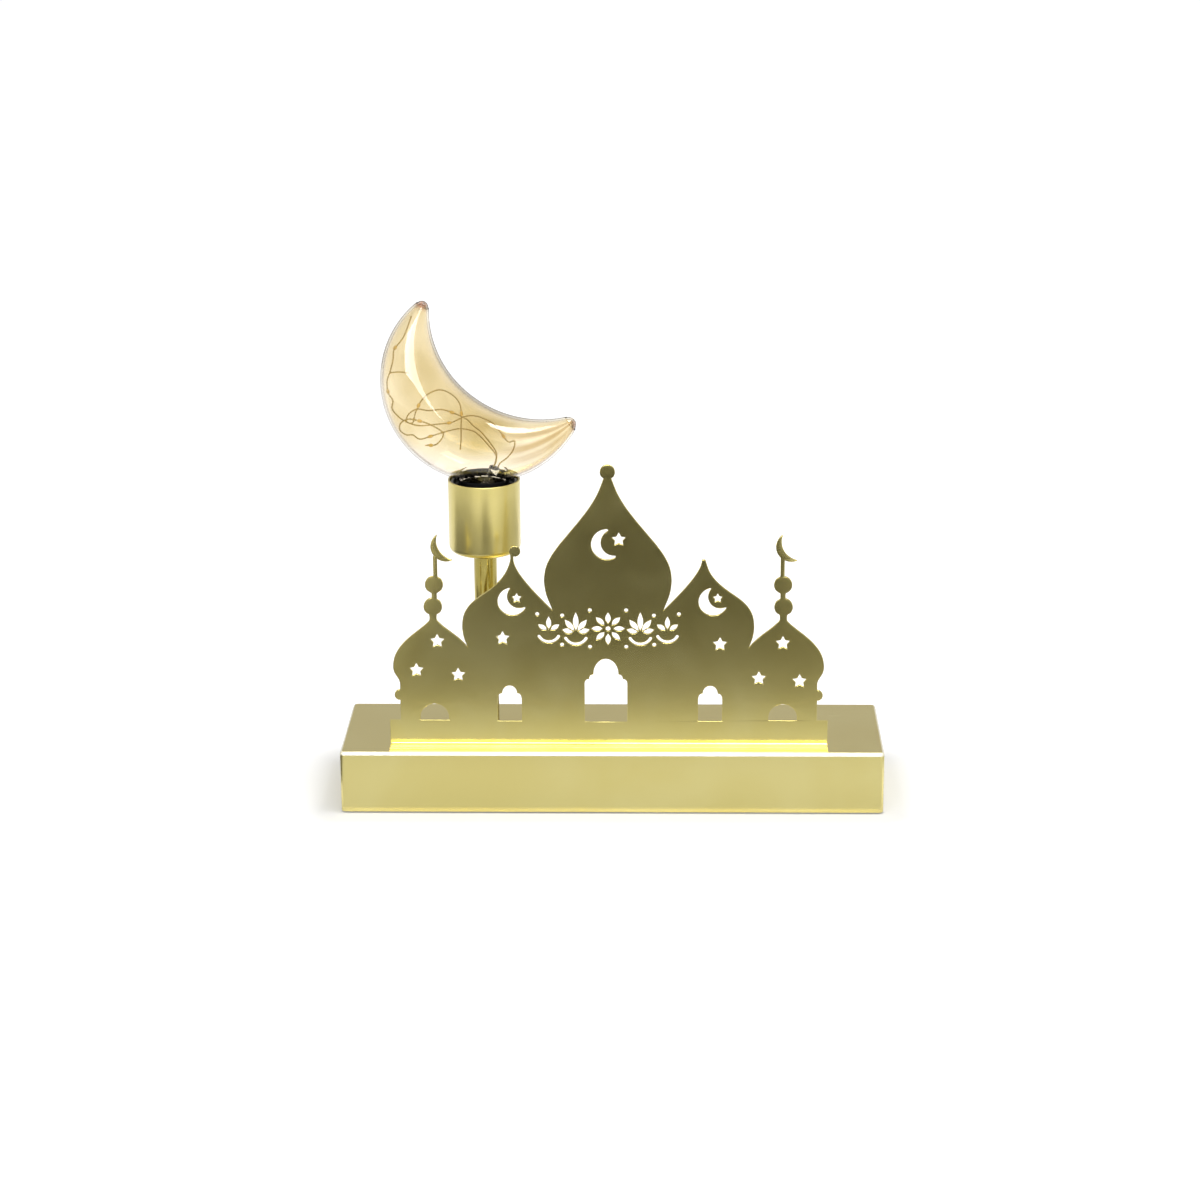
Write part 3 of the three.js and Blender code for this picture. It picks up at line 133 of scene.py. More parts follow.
# Glass moon: the crescent between two circles, round in section all along. A tip's shape is its length and
# width, as shares of the last ball's radius. The nudge is the step, in radians, that slopes are taken over
MOON_RADIUS = 56.3 * MM
MOON_INNER = 59.2 * MM
MOON_THICKNESS = 45.4 * MM
MOON_AXIS = math.radians(51.2)
MOON_TIPS = (math.radians(78), math.radians(79.6))
MOON_TIP_SHAPE = ((0.3, 0.93), (0.56, 0.74), (0.74, 0.6), (0.84, 0.48), (0.92, 0.34), (0.97, 0.22),
                  (0.995, 0.08))
MOON_SIDE_SHIFT = 0.9 * MM
MOON_SINK = 1.7 * MM
MOON_STATIONS = 150
MOON_SIDES = 112
MOON_NUDGE = 0.001
GLASS_WALL = 1.2 * MM
NECK_RADIUS = 13.2 * MM
NECK_TOP = -1.5 * MM
FLARE_RADIUS = 15.5 * MM
FLARE_FOOT = 4 * MM
FLARE_TOP = 9 * MM
NECK_THROUGH = 1 * MM

# Strength of every finish's bump
BUMP_STRENGTH = 0.4

# Amber in the glass, partly painted light: each deep patch's centre, full and last reach and strength (the
# glass's tint deepened by painted shade), the heights between which the belly's painted pale reflection gives
# way to it, where the right horn's painted reflection bands set in, the drawn tips, and the top of the neck's
# black paint, which is painted shade
AMBER_PATCHES = (((-0.074, 0.0, 0.209), 14 * MM, 34 * MM, 0.85),
                 ((-0.093, 0.0, 0.236), 8 * MM, 32 * MM, 0.6))
BELLY_REFLECTION_HEIGHTS = (0.193, 0.207)
HORN_REFLECTION_BANDS_FROM = (-0.066, -0.045)
MOON_TIP_PLACES = ((-0.1016, 0.0, 0.2785), (-0.0185, 0.0, 0.2115))
NECK_SHADE_PAINT_TOP = 0.1825

# Glass press: a flared disc with a leaning stalk, its foot painted black as shade
MOUNT_LEAN = math.radians(22)
MOUNT_HEIGHT = 13.5 * MM
MOUNT_FLARE = 1.2 * MM
MOUNT_SIDE = 1.2 * MM
MOUNT_RADIUS = 3.2 * MM
MOUNT_COLLAR = 1.4 * MM
MOUNT_DISC = 11.4 * MM
MOUNT_EDGE = 0.3 * MM
PRESS_SHADE_HEIGHT = 7 * MM

# Fairy wires: each route leaves the glass press, then runs from point to point, from the lamp's axis
# and the moon's centre in mm. Beads are shares of a route's length
FIT_GAP = 0.3 * MM
WIRE_LEAD = 2.4 * MM
WIRE_STEP = 0.5 * MM
STRAND_RADIUS = 0.24 * MM
STRAND_TWIST = 3.2 * MM
STRAND_APART = 1.02
BEAD_RADIUS = 0.95 * MM
BEAD_LENGTH = 3.0 * MM
FAIRY_ROUTES = {
    "fairy_wire_1": dict(start=(-0.9, -1.3), beads=(0.3, 0.62, 0.86), points=(
        (7.2, -1.8, -40), (4.4, -2.5, -34.6), (-0.8, -4, -27.4), (-5, -5.5, -23.4), (-8.3, -6.5, -19.7),
        (-15, -7, -16.1), (-21.7, -6, -14.2), (-29.2, -5, -15), (-35.4, -4.5, -14.3), (-40.2, -3.2, -17.6),
        (-41.6, -1, -22.3), (-38.6, 1.6, -23.7), (-37, 3.4, -18.5), (-33.8, 5, -12.2), (-29.8, 6, -8.4),
        (-23.4, 6.6, -6.3), (-16.7, 6.6, -9.1), (-13, 6, -13.6), (-12, 5, -19.2), (-12.2, 3.6, -25.6),
        (-12.3, 2.5, -32.9), (-12.8, 1.5, -38.7))),
    "fairy_wire_2": dict(start=(-0.6, 1.4), beads=(0.42, 0.74, 0.97), points=(
        (6.6, 2.4, -42), (2.4, 4.2, -36.8), (-2.2, 6, -32.1), (-6, 7.6, -29.7), (-13.3, 8.6, -28.7),
        (-21.7, 8, -30.4), (-28.4, 6, -32.1), (-35.1, 3, -33.2), (-38.6, 0, -30), (-41.6, -3, -29.2),
        (-45, -4.4, -26), (-44.4, -4.6, -22.1), (-40, -4.8, -19.8), (-33, -6.8, -20.6), (-27, -8.6, -22.4),
        (-21, -10, -26.6), (-24.8, -9, -32.7), (-31.2, -6.4, -34.1))),
    "fairy_wire_3": dict(start=(1.6, 0), beads=(0.17, 0.4, 0.71, 0.87), points=(
        (13.4, -1.2, -42), (16.4, -1, -37.7), (17, 0.4, -33.5), (13.6, 1.6, -34.3), (9.6, 3.6, -29.8),
        (5.6, 6, -25.3), (0.8, 8, -23), (-5.6, 9.6, -21.5), (-11, 10.6, -22.4), (-17.4, 11.2, -25.6),
        (-26.7, 10.6, -26.8), (-36, 8.2, -26.9), (-42, 4.4, -24), (-46.6, 0.4, -19.4), (-49.5, 0, -15),
        (-48.9, 0.5, -10.9), (-51.4, 1, -6.7), (-51.9, 1.5, -0.1), (-50.2, 2, 4.9), (-48.3, 2, 11.8),
        (-47.6, 1.6, 17.2), (-42.8, 1, 23.4), (-39.6, 0.5, 30.4), (-37.6, 0.2, 36)),
        twig=((-50.4, 2, 4.3), (-45.2, 2.2, 4.7), (-40, 1.8, 4.3))),
}

# Camera, found from the base's corners and the cup's rim
CAMERA_PLACE = (0.0291, -1.5815, 0.6253)
CAMERA_PITCH = math.radians(18.0)
CAMERA_YAW = math.radians(-1.30)
CAMERA_ROLL = math.radians(0.33)
CAMERA_LENS = 90.01
CAMERA_SENSOR = 36.0
CAMERA_NEAR = 0.01

# Floor: half its size, half the base's footprint, the distance over which its glow rises, the rise by
# shares of that distance, and the glow near the base and gained away from it. Then the world's soft light
FLOOR_HALF = 6.0
BASE_HALF = (0.15, 0.04, 1.0)
FLOOR_FADE = 0.4
FLOOR_RISE = [(0.0, 0.0), (0.025, 0.04), (0.08, 0.7), (0.3, 0.85), (1.0, 1.0)]
FLOOR_GLOW = (0.18, 0.45)
FLOOR_GREY = (0.75, 0.75, 0.75, 1)
WHITE = (1, 1, 1, 1)
SOFT_LIGHT = 0.5

# Lamps: place, target, size and power
LAMPS = {
    "softbox_above": ((-0.05, -0.55, 1.0), (0, 0, 0.1), (1.2, 1.0), 2.6),
    "softbox_front": ((-0.1, -1.25, 0.85), (-0.03, 0, 0.2), (1.0, 0.5), 4.5),
    "softbox_right": ((0.42, -0.15, 1.5), (0, 0, 0.05), (0.5, 0.5), 7),
}

# Cards that the gold and the glass mirror: corners, then shades by their Y or one colour
CARDS = {
    "front_flag": ([(-0.19, -0.043, 0.002), (-0.14, -0.45, 0.002), (-0.13, -1.3, 0.002), (0.17, -1.3, 0.002),
                    (0.16, -0.45, 0.002), (0.21, -0.043, 0.002)],
                   [(-1.3, 0.06), (-0.6, 0.042), (-0.44, 0.078), (-0.3, 0.16), (-0.2, 0.38), (-0.16, 0.74),
                    (-0.12, 0.92), (-0.07, 0.85), (-0.043, 0.81)]),
    "left_flag": ([(-0.9, -0.7, 0.0015), (-0.13, -0.7, 0.0015), (-0.19, -0.06, 0.0015), (-0.2, 0.15, 0.0015),
                   (-0.9, 0.15, 0.0015)],
                  [(-0.7, 0.35), (-0.4, 0.3), (-0.2, 0.2), (0.15, 0.22)]),
    "right_flag": ([(0.22, -0.45, 0.002), (0.8, -0.45, 0.002), (0.8, 0.4, 0.002), (0.22, 0.4, 0.002)],
                   [(-0.45, 0.7), (0.4, 0.55)]),
    "key_card": ([(-0.6, -1.365, 0.628), (0.4, -1.365, 0.628), (0.4, -1.135, 1.072), (-0.6, -1.135, 1.072)],
                 [(-1.365, 10.0), (-1.135, 10.0)]),
    "top_card": ([(0.0, -0.34, 1.5), (0.75, -0.34, 1.5), (0.75, 0.02, 1.5), (0.0, 0.02, 1.5)],
                 [(-0.34, 9.0), (0.02, 9.0)]),
    "back_card": ([(-1.6, 1.2, 0.02), (1.6, 1.2, 0.02), (1.6, 1.2, 1.4), (-1.6, 1.2, 1.4)],
                  (0.55, 0.53, 0.5, 1)),
}


class Signal:
    """A value in a node tree. Sums and products of signals add Math nodes."""

    def __init__(self, owner, socket):
        self.owner = owner
        self.socket = socket

    def maths(self, operation, first, second):
        return self.owner.node("ShaderNodeMath", {"operation": operation}, {0: first, 1: second})

    def __add__(self, other):
        return self.maths("ADD", self, other)

    def __radd__(self, other):
        return self.maths("ADD", other, self)

    def __sub__(self, other):
        return self.maths("SUBTRACT", self, other)

    def __rsub__(self, other):
        return self.maths("SUBTRACT", other, self)

    def __mul__(self, other):
        return self.maths("MULTIPLY", self, other)

    def __rmul__(self, other):
        return self.maths("MULTIPLY", other, self)

    def at_most(self, other):
        return self.maths("MINIMUM", self, other)


class Tree:
    """A node tree being put together."""

    def __init__(self, tree):
        self.tree = tree

    def node(self, kind, settings=None, sockets=None, out=0):
        """A new node's output: its settings come first, then its sockets' values, links or lists of links."""
        made = self.tree.nodes.new(kind)
        for key, value in (settings or {}).items():
            if key == "stops":
                self.set_stops(made.color_ramp, value)
            else:
                setattr(made, key, value)
        for key, value in (sockets or {}).items():
            links = value if isinstance(value, list) else [value]
            if isinstance(links[0], Signal):
                for link in links:
                    self.tree.links.new(link.socket, made.inputs[key])
            else:
                made.inputs[key].default_value = value
        return Signal(self, made.outputs[out]) if made.outputs else None

    def set_stops(self, ramp, stops):
        while len(ramp.elements) < len(stops):
            ramp.elements.new(0.5)
        for element, (place, value) in zip(ramp.elements, stops):
            element.position = place
            element.color = value if isinstance(value, tuple) else (value, value, value, 1)


class GeometryTree(Tree):
    """A Geometry Nodes tree that takes a geometry and further named inputs, and gives a geometry."""

    def __init__(self, name, inputs):
        super().__init__(bpy.data.node_groups.new(name, "GeometryNodeTree"))
        for label, kind in {"Geometry": "Geometry", **inputs}.items():
            self.tree.interface.new_socket(label, in_out="INPUT", socket_type=f"NodeSocket{kind}")
        self.tree.interface.new_socket("Geometry", in_out="OUTPUT", socket_type="NodeSocketGeometry")
        self.entry = self.tree.nodes.new("NodeGroupInput")

    def given(self, label):
        return Signal(self, self.entry.outputs[label])

    def finished(self, geometry):
        self.node("NodeGroupOutput", sockets={"Geometry": geometry})
        return self.tree


class Finish(Tree):
    """A node material, or the world, being put together."""

    def __init__(self, name, owner=None):
        self.owner = owner or bpy.data.materials.new(name)
        self.owner.use_nodes = True
        super().__init__(self.owner.node_tree)
        self.tree.nodes.clear()

    def coordinate(self, space, axis):
        """One of a place's coordinates, its axis counted from 0."""
        here = self.node("ShaderNodeTexCoord", out=space)
        return self.node("ShaderNodeSeparateXYZ", sockets={"Vector": here}, out=axis)

    def noise(self, scale, detail, stretch=(1, 1, 1), distortion=0.0):
        here = self.node("ShaderNodeTexCoord", out="Object")
        place = self.node("ShaderNodeMapping", sockets={"Vector": here, "Scale": stretch})
        return self.node("ShaderNodeTexNoise", sockets={
            "Vector": place, "Scale": scale, "Detail": detail, "Distortion": distortion})

    def vector(self, operation, first, second=(0, 0, 0), out=0):
        return self.node("ShaderNodeVectorMath", {"operation": operation}, {0: first, 1: second}, out)

    def smoothstep(self, value, start, end, low, high):
        return self.node("ShaderNodeMapRange", {"interpolation_type": "SMOOTHSTEP"}, {
            "Value": value, "From Min": start, "From Max": end, "To Min": low, "To Max": high})

    def within(self, centre, near, far):
        """1 up to a near distance from a place, falling to 0 at the far one."""
        here = self.node("ShaderNodeTexCoord", out="Object")
        return self.smoothstep(self.vector("DISTANCE", here, centre, out=1), near, far, 1.0, 0.0)

    def direct_look(self):
        """1 where the camera, a mirror or glass looks, and 0 where a thing only gives light."""
        kinds = ("Camera", "Glossy", "Transmission")
        seen = [self.node("ShaderNodeLightPath", out=f"Is {kind} Ray") for kind in kinds]
        return (seen[0] + seen[1] + seen[2]).at_most(1.0)

    def blend(self, factor, first, second):
        return self.node("ShaderNodeMix", {"data_type": "RGBA", "clamp_factor": True},
                         {0: factor, 6: first, 7: second}, out=2)

    def ramp(self, factor, stops):
        return self.node("ShaderNodeValToRGB", {"stops": stops}, {"Fac": factor})

    def bump(self, height, distance):
        return self.node("ShaderNodeBump", sockets={
            "Height": height, "Distance": distance, "Strength": BUMP_STRENGTH})

    def surface(self, **sockets):
        named = {key.replace("_", " "): value for key, value in sockets.items()}
        return self.output(self.node("ShaderNodeBsdfPrincipled", sockets=named))

    def output(self, shader):
        kind = "World" if isinstance(self.owner, bpy.types.World) else "Material"
        self.node(f"ShaderNodeOutput{kind}", sockets={"Surface": shader})
        return self.owner


def srgb(code):
    """A colour written as six hex digits, as linear light."""
    parts = [int(code[i:i + 2], 16) / 255 for i in (0, 2, 4)]
    return tuple(p / 12.92 if p <= 0.04045 else ((p + 0.055) / 1.055) ** 2.4 for p in parts) + (1.0,)


# Finishes
def gold_lacquer(name, grain, cloud=26, rough=0.25, coat=0.3, tones=("dfd080", "e4d78e", "d3c378")):
    """Gold lacquered sheet: a satin coat with soft cloudy smears, faint rolling grain and fine dust."""
    f = Finish(name)
    clouds = f.noise(cloud, 3, distortion=0.6)
    lines = f.noise(2400, 2, stretch=grain)
    dust = f.noise(5200, 1)
    tone = f.blend(f.ramp(clouds, [(0.35, 0.0), (0.68, 1.0)]), srgb(tones[0]), srgb(tones[1]))
    colour = f.blend((lines - 0.5) * 0.25 + 0.15, tone, srgb(tones[2]))
    roughness = rough + (clouds - 0.5) * 0.08 + (lines - 0.5) * 0.03
    height = lines * 0.5 + dust * 0.5
    return f.surface(Base_Color=colour, Metallic=1.0, Roughness=roughness,
                     Normal=f.bump(height, 0.003 * MM), Coat_Weight=coat, Coat_Roughness=0.1)


def moulded(name, colour, rough, sparkle=1400, depth=0.02):
    """Moulded plastic or rubber with the fine texture of its tool."""
    f = Finish(name)
    texture = f.noise(sparkle, 3)
    wear = f.noise(60, 2)
    worn = tuple(0.88 * part + 0.12 for part in srgb(colour))
    tone = f.blend(f.ramp(wear, [(0.45, 0.0), (0.75, 1.0)]), srgb(colour), worn)
    return f.surface(Base_Color=tone, Roughness=rough + (texture - 0.5) * 0.2 + (wear - 0.5) * 0.1,
                     Normal=f.bump(texture, depth * MM))


def plated(name, colour, rough, dull="8a8880"):
    """Plated or bare metal with faint patches and fine scratches."""
    f = Finish(name)
    patches = f.noise(140, 4, distortion=0.4)
    scratches = f.noise(1600, 1, stretch=(0.06, 1, 1))
    tone = f.blend(f.ramp(patches, [(0.4, 0.0), (0.8, 0.6)]), srgb(colour), srgb(dull))
    roughness = rough + (patches - 0.5) * 0.2 + (scratches - 0.5) * 0.15
    return f.surface(Base_Color=tone, Metallic=1.0, Roughness=roughness,
                     Normal=f.bump(scratches, 0.01 * MM))


def lustre(f, height, streaks):
    """The amber of the glass: deep in patches, its tint with painted shade; pale at the belly, a painted
    reflection of the bright floor; and in painted reflection bands along the right horn.
    """
    across = f.coordinate("UV", 1)
    # Faint at the belly: a painted reflection of the bright floor
    belly = f.smoothstep(height, *BELLY_REFLECTION_HEIGHTS, 0.15, 1.0)
    patches = [f.within(centre, near, far) * strength for centre, near, far, strength in AMBER_PATCHES]
    deep_tint_and_shade = (patches[0] + patches[1] + streaks * 0.25).at_most(1.0)
    deep_tint_and_shade = deep_tint_and_shade * belly * f.ramp(across, [(0.62, 1.0), (0.9, 0.4)])
    light = f.blend(deep_tint_and_shade, f.blend(belly, srgb("fefaf0"), srgb("f9f0d8")), srgb("cfba76"))
    on_horn = f.smoothstep(f.coordinate("Object", 0), *HORN_REFLECTION_BANDS_FROM, 0.0, 0.8)
    # Bands along the right horn: painted reflections
    reflection_bands = f.ramp(across, [(0.06, 0.0), (0.13, 0.7), (0.19, 0.7), (0.27, 0.0), (0.47, 0.0), (0.54, 1.0),
                            (0.6, 1.0), (0.66, 0.0)])
    return f.blend(reflection_bands * on_horn, light, srgb("cfb27c"))


def edged(f, light):
    """A glass tone with its thick drawn tips made grey-brown, a painted pale rim where its walls are seen
    edge on, and painted dark outlines and inner-wall lines, painted shade for dark surroundings seen through
    its edges.
    """
    tips = [f.within(tip, 1.5 * MM, 6.5 * MM) for tip in MOON_TIP_PLACES]
    burnt = f.blend(f.ramp(f.noise(260, 1), [(0.46, 0.0), (0.54, 1.0)]), srgb("3d3138"), srgb("d8a994"))
    edge = f.node("ShaderNodeLayerWeight", sockets={"Blend": 0.5}, out="Facing")
    # A pale rim where the walls are seen edge on: a painted highlight
    light = f.blend(f.ramp(edge, [(0.35, 0.0), (0.65, 0.8)]), light, srgb("f6f0ef"))
    capped = f.blend((tips[0] + tips[1]) * 0.85, light, burnt)
    behind = f.node("ShaderNodeNewGeometry", out="Backfacing")
    # Dark outlines and inner-wall lines: painted shade for dark surroundings seen through the glass's edges
    outline = f.ramp(edge, [(0.72, 0.0), (0.86, 0.45), (0.94, 1.0)]) * (1.0 - behind)
    painted_inner_line = f.ramp(edge, [(0.225, 0.0), (0.262, 0.85)]) * behind
    return f.blend((outline + painted_inner_line).at_most(1.0), capped, srgb("2c2322"))


def lustre_glass():
    """The moon's clear glass with its amber lustre, its neck painted black: painted shade for the dark
    opening of the cup.
    """
    f = Finish("lustre_glass")
    height = f.coordinate("Object", 2)
    streaks = f.ramp(f.noise(26, 2, stretch=(1, 1, 0.6), distortion=1.4), [(0.4, 0.0), (0.62, 1.0)])
    tone = edged(f, lustre(f, height, streaks))
    glass = f.node("ShaderNodeBsdfPrincipled", sockets={
        "Base Color": tone, "Roughness": 0.01, "IOR": 1.47, "Transmission Weight": 1.0})
    # Black paint on the neck: painted shade for the dark cup opening
    neck_shade_paint = f.node("ShaderNodeBsdfPrincipled", sockets={
        "Base Color": srgb("0d0d10"), "Roughness": 0.38 + (streaks - 0.5) * 0.1})
    shade_painted = height.maths("LESS_THAN", height, NECK_SHADE_PAINT_TOP)
    return f.output(f.node("ShaderNodeMixShader", sockets={0: shade_painted, 1: glass, 2: neck_shade_paint}))


def clear_glass():
    """The press's clear glass, faintly wavy."""
    f = Finish("press_glass")
    waves = f.noise(300, 2)
    return f.surface(Base_Color=srgb("f3f4f2"), Roughness=0.02, IOR=1.5, Transmission_Weight=1.0,
                     Normal=f.bump(waves, 0.1 * MM))


def enamelled_copper():
    """Enamelled copper, with a little glow against the shade of the glass about it."""
    f = Finish("enamelled_copper")
    along = f.noise(500, 2)
    tone = f.blend(along, srgb("94803f"), srgb("b9a262"))
    return f.surface(Base_Color=tone, Metallic=0.1, Roughness=0.45 + (along - 0.5) * 0.2,
                     Emission_Color=tone, Emission_Strength=0.5)


def bead_resin():
    """Clear amber resin, with a faint painted glow."""
    f = Finish("bead_resin")
    inside = f.noise(900, 2)
    tone = f.blend(inside, srgb("d9b24e"), srgb("eed47c"))
    return f.surface(Base_Color=tone, Roughness=0.12, Coat_Weight=0.6, Coat_Roughness=0.05,
                     Emission_Color=tone, Emission_Strength=0.12)


def cell_sleeve():
    """A cell's plain blue sleeve."""
    f = Finish("cell_sleeve")
    print_grain = f.noise(700, 2)
    tone = f.blend(print_grain, srgb("2f5379"), srgb("3b658f"))
    roughness = 0.28 + (print_grain - 0.5) * 0.1
    return f.surface(Base_Color=tone, Metallic=0.4, Roughness=roughness, Coat_Weight=0.4)


gold_panel = gold_lacquer("gold_panel", (1, 1, 0.05), rough=0.2, coat=0.08)
gold_base = gold_lacquer("gold_base", (0.05, 1, 1), cloud=16, coat=0.7)
# A pale copy of the lacquer for the bends and the flange: a painted highlight
gold_bend = gold_lacquer("gold_bend", (0.05, 1, 1), cloud=16, rough=0.5, coat=0.7,
                         tones=("ebe6cc", "efead4", "e3dcbe"))
gold_cut = gold_lacquer("gold_cut", (1, 1, 1), rough=0.5)
# A slightly darker copy of the lacquer for the cup: painted shade for its darker reflections
gold_spun = gold_lacquer("gold_spun", (0.2, 0.2, 1), cloud=50, rough=0.31,
                         tones=("d3c57a", "dacc84", "c7b86f"))
# A darker copy of the lacquer for the stem: painted shade for the darker reflections it shows
gold_tube = gold_lacquer("gold_tube", (0.2, 0.2, 1), cloud=90, rough=0.16,
                         tones=("a8994f", "b3a45a", "968845"))
black_holder = moulded("black_holder", "131313", 0.22)
black_case = moulded("black_case", "1b1b1c", 0.42)
rubber = moulded("rubber", "1d1d1d", 0.8, sparkle=900, depth=0.05)
zinc = plated("zinc", "b9b9b4", 0.32)
nickel = plated("nickel", "cfccc2", 0.2)
black_nickel = plated("black_nickel", "2b2b2d", 0.22, dull="1c1c1e")
brass = plated("brass", "c9a24a", 0.28, dull="8f7434")
copper = enamelled_copper()
resin = bead_resin()
amber = lustre_glass()
clear = clear_glass()
glazed = moulded("glazed", "ded9cb", 0.12)
red_sleeve = moulded("red_sleeve", "a02820", 0.45)
black_sleeve = moulded("black_sleeve", "1a1a1a", 0.45)
sleeve = cell_sleeve()


def dress(mesh, *looks):
    """Gives a mesh its finishes, in the order of its faces' material indices."""
    mesh.materials.clear()
    for look in looks:
        mesh.materials.append(look)


# CAD nodes that stay as they are
for look, node_names in (
        (glazed, ["contact_block"]), (black_holder, ["cap_insulator"]),
        (brass, ["holder_shell", "centre_contact"]),
        (nickel, ["cap_tip", "contact_positive", "contact_negative", "contact_bridge_left",
                  "contact_bridge_right"]),
        (zinc, ["threaded_rod", "base_washer", "cup_washer"]), (red_sleeve, ["lead_switch", "lead_live"]),
        (black_sleeve, ["lead_return"])):
    for node_name in node_names:
        dress(nodes[node_name].data, look)


# Mesh helpers
def new_object(name, data):
    piece = bpy.data.objects.new(name, data)
    bpy.context.scene.collection.objects.link(piece)
    return piece


def settled(piece):
    """The piece with its modifiers applied, as a new plain object of the same name."""
    bpy.context.view_layer.update()
    mesh = bpy.data.meshes.new_from_object(piece.evaluated_get(bpy.context.evaluated_depsgraph_get()))
    name = piece.name
    bpy.data.objects.remove(piece)
    return new_object(name, mesh)


def smooth(mesh, degrees=35):
    mesh.shade_smooth()
    mesh.set_sharp_from_angle(angle=math.radians(degrees))


def add_modifier(piece, kind, **settings):
    modifier = piece.modifiers.new(kind.lower(), kind)
    for key, value in settings.items():
        setattr(modifier, key, value)
    return modifier


def finish_piece(piece, look, body, node_names):
    """Gives a piece its finish, if it has none yet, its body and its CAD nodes."""
    if look is not None:
        dress(piece.data, look)
    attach(piece, body)
    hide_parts(*node_names)


def made_mesh(bm, name, degrees=None):
    """The bmesh as a new mesh, smooth up to an angle if one is given."""
    mesh = bpy.data.meshes.new(name)
    bm.to_mesh(mesh)
    bm.free()
    if degrees:
        smooth(mesh, degrees)
    return mesh


def merged_copy(node):
    """A copy of a CAD node with shared corners and whole flat faces."""
    bm = bmesh.new()
    bm.from_mesh(nodes[node].data)
    bmesh.ops.remove_doubles(bm, verts=bm.verts, dist=SAME_CORNER)
    bmesh.ops.dissolve_limit(bm, angle_limit=FLAT_TURN, verts=bm.verts, edges=bm.edges)
    return made_mesh(bm, node)


def eased(node, name, edge):
    """A copy of a CAD node with small rounded edges."""
    piece = new_object(name, merged_copy(node))
    smooth(piece.data)
    add_modifier(piece, "BEVEL", width=edge, segments=2, limit_method="ANGLE", angle_limit=math.radians(30))
    add_modifier(piece, "WEIGHTED_NORMAL", keep_sharp=True)
    return settled(piece)


def arc(r, z, radius, start, end, steps=6):
    """Points of a round corner in a turned profile, angles in degrees."""
    angles = [math.radians(start + (end - start) * i / steps) for i in range(steps + 1)]
    return [(r + radius * math.cos(a), z + radius * math.sin(a)) for a in angles]


def circle(r, z, sides, centre):
    angles = [TAU * k / sides for k in range(sides)]
    return [(centre[0] + r * math.cos(a), centre[1] + r * math.sin(a), z) for a in angles]


def skin(bm, rings, closed=False):
    """Faces from ring to ring, and from the last to the first if closed. A ring may be a single corner."""
    sides = max(len(ring) for ring in rings)
    for low, high in zip(rings, rings[1:] + rings[:1] if closed else rings[1:]):
        for k in range(sides):
            corners = [low[k % len(low)], low[(k + 1) % len(low)], high[(k + 1) % len(high)],
                       high[k % len(high)]]
            bm.faces.new(list(dict.fromkeys(corners)))


def turned(name, profile, centre, sides=96):
    """A body of revolution about a vertical line. The profile closes on itself or ends on the axis."""
    bm = bmesh.new()
    rings = [[bm.verts.new(p) for p in (circle(r, z, sides, centre) if r > 0 else [(*centre, z)])]
             for r, z in profile]
    skin(bm, rings, closed=len(rings[0]) > 1)
    bmesh.ops.recalc_face_normals(bm, faces=bm.faces)
    return new_object(name, made_mesh(bm, name, 35))


def smooth_path(points, step):
    """A curve through points (centripetal Catmull-Rom), with points about a step apart."""
    points = [Vector(p) for p in points]
    ends = [2 * points[0] - points[1], *points, 2 * points[-1] - points[-2]]
    result = [points[0]]
    for a, b, c, d in zip(ends, ends[1:], ends[2:], ends[3:]):
        t1 = (b - a).length ** 0.5
        t2 = t1 + (c - b).length ** 0.5
        t3 = t2 + (d - c).length ** 0.5
        count = max(1, math.ceil((c - b).length / step))
        for i in range(1, count + 1):
            t = t1 + (t2 - t1) * i / count
            p = (a * (t1 - t) + b * t) / t1
            q = (b * (t2 - t) + c * (t - t1)) / (t2 - t1)
            r = (c * (t3 - t) + d * (t - t2)) / (t3 - t2)
            u = (p * (t2 - t) + q * t) / t2
            v = (q * (t3 - t) + r * (t - t1)) / (t3 - t1)
            result.append((u * (t2 - t) + v * (t - t1)) / (t2 - t1))
    return result


# Mosque panel: the outline comes from the CAD sheet's front face, with its round stretches made finer
def front_loops(node):
    """The outlines of a sheet's front face, as loops of places along X and Z."""
    mesh = merged_copy(node)
    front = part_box(node)[1].y - PANEL_THICK
    bm = bmesh.new()
    bm.from_mesh(mesh)
    flat = {f for f in bm.faces
            if f.normal.y < -FACES_FRONT and abs(f.calc_center_median().y - front) < SAME_PLACE}
    follow = {}
    for face in flat:
        for loop in face.loops:
            if sum(other in flat for other in loop.edge.link_faces) == 1:
                a, b = loop.vert, loop.link_loop_next.vert
                follow.setdefault(a.index, []).append((b.index, Vector((a.co.x, a.co.z))))
    loops = []
    while follow:
        start = next(iter(follow))
        here, loop = start, []
        while here in follow:
            nexts = follow[here]
            there, place = nexts.pop()
            if not nexts:
                del follow[here]
            loop.append(place)
            here = there
            if here == start:
                break
        loops.append(loop)
    bm.free()
    return loops


def finer(loop):
    """The loop with its corners and long sides kept, and every other stretch run through smoothly."""
    count = len(loop)

    def turn(i):
        before, after = loop[i] - loop[i - 1], loop[(i + 1) % count] - loop[i]
        return abs(before.angle_signed(after))

    def long_side(i):
        return (loop[(i + 1) % count] - loop[i]).length > LONG_SIDE

    stops = [i for i in range(count) if turn(i) > CORNER_TURN or long_side(i) or long_side(i - 1)]
    if not stops:
        around = smooth_path([*loop[-2:], *loop, *loop[:3]], OUTLINE_STEP)
        first = min(range(len(around)), key=lambda k: (around[k] - loop[0]).length)
        last = max(range(len(around)), key=lambda k: (-round((around[k] - loop[0]).length, 7), k))
        return around[first:last]
    result = []
    for here, there in zip(stops, stops[1:] + [stops[0] + count]):
        stretch = [loop[k % count] for k in range(here, there + 1)]
        result += (stretch if len(stretch) == 2 else smooth_path(stretch, OUTLINE_STEP))[:-1]
    return result


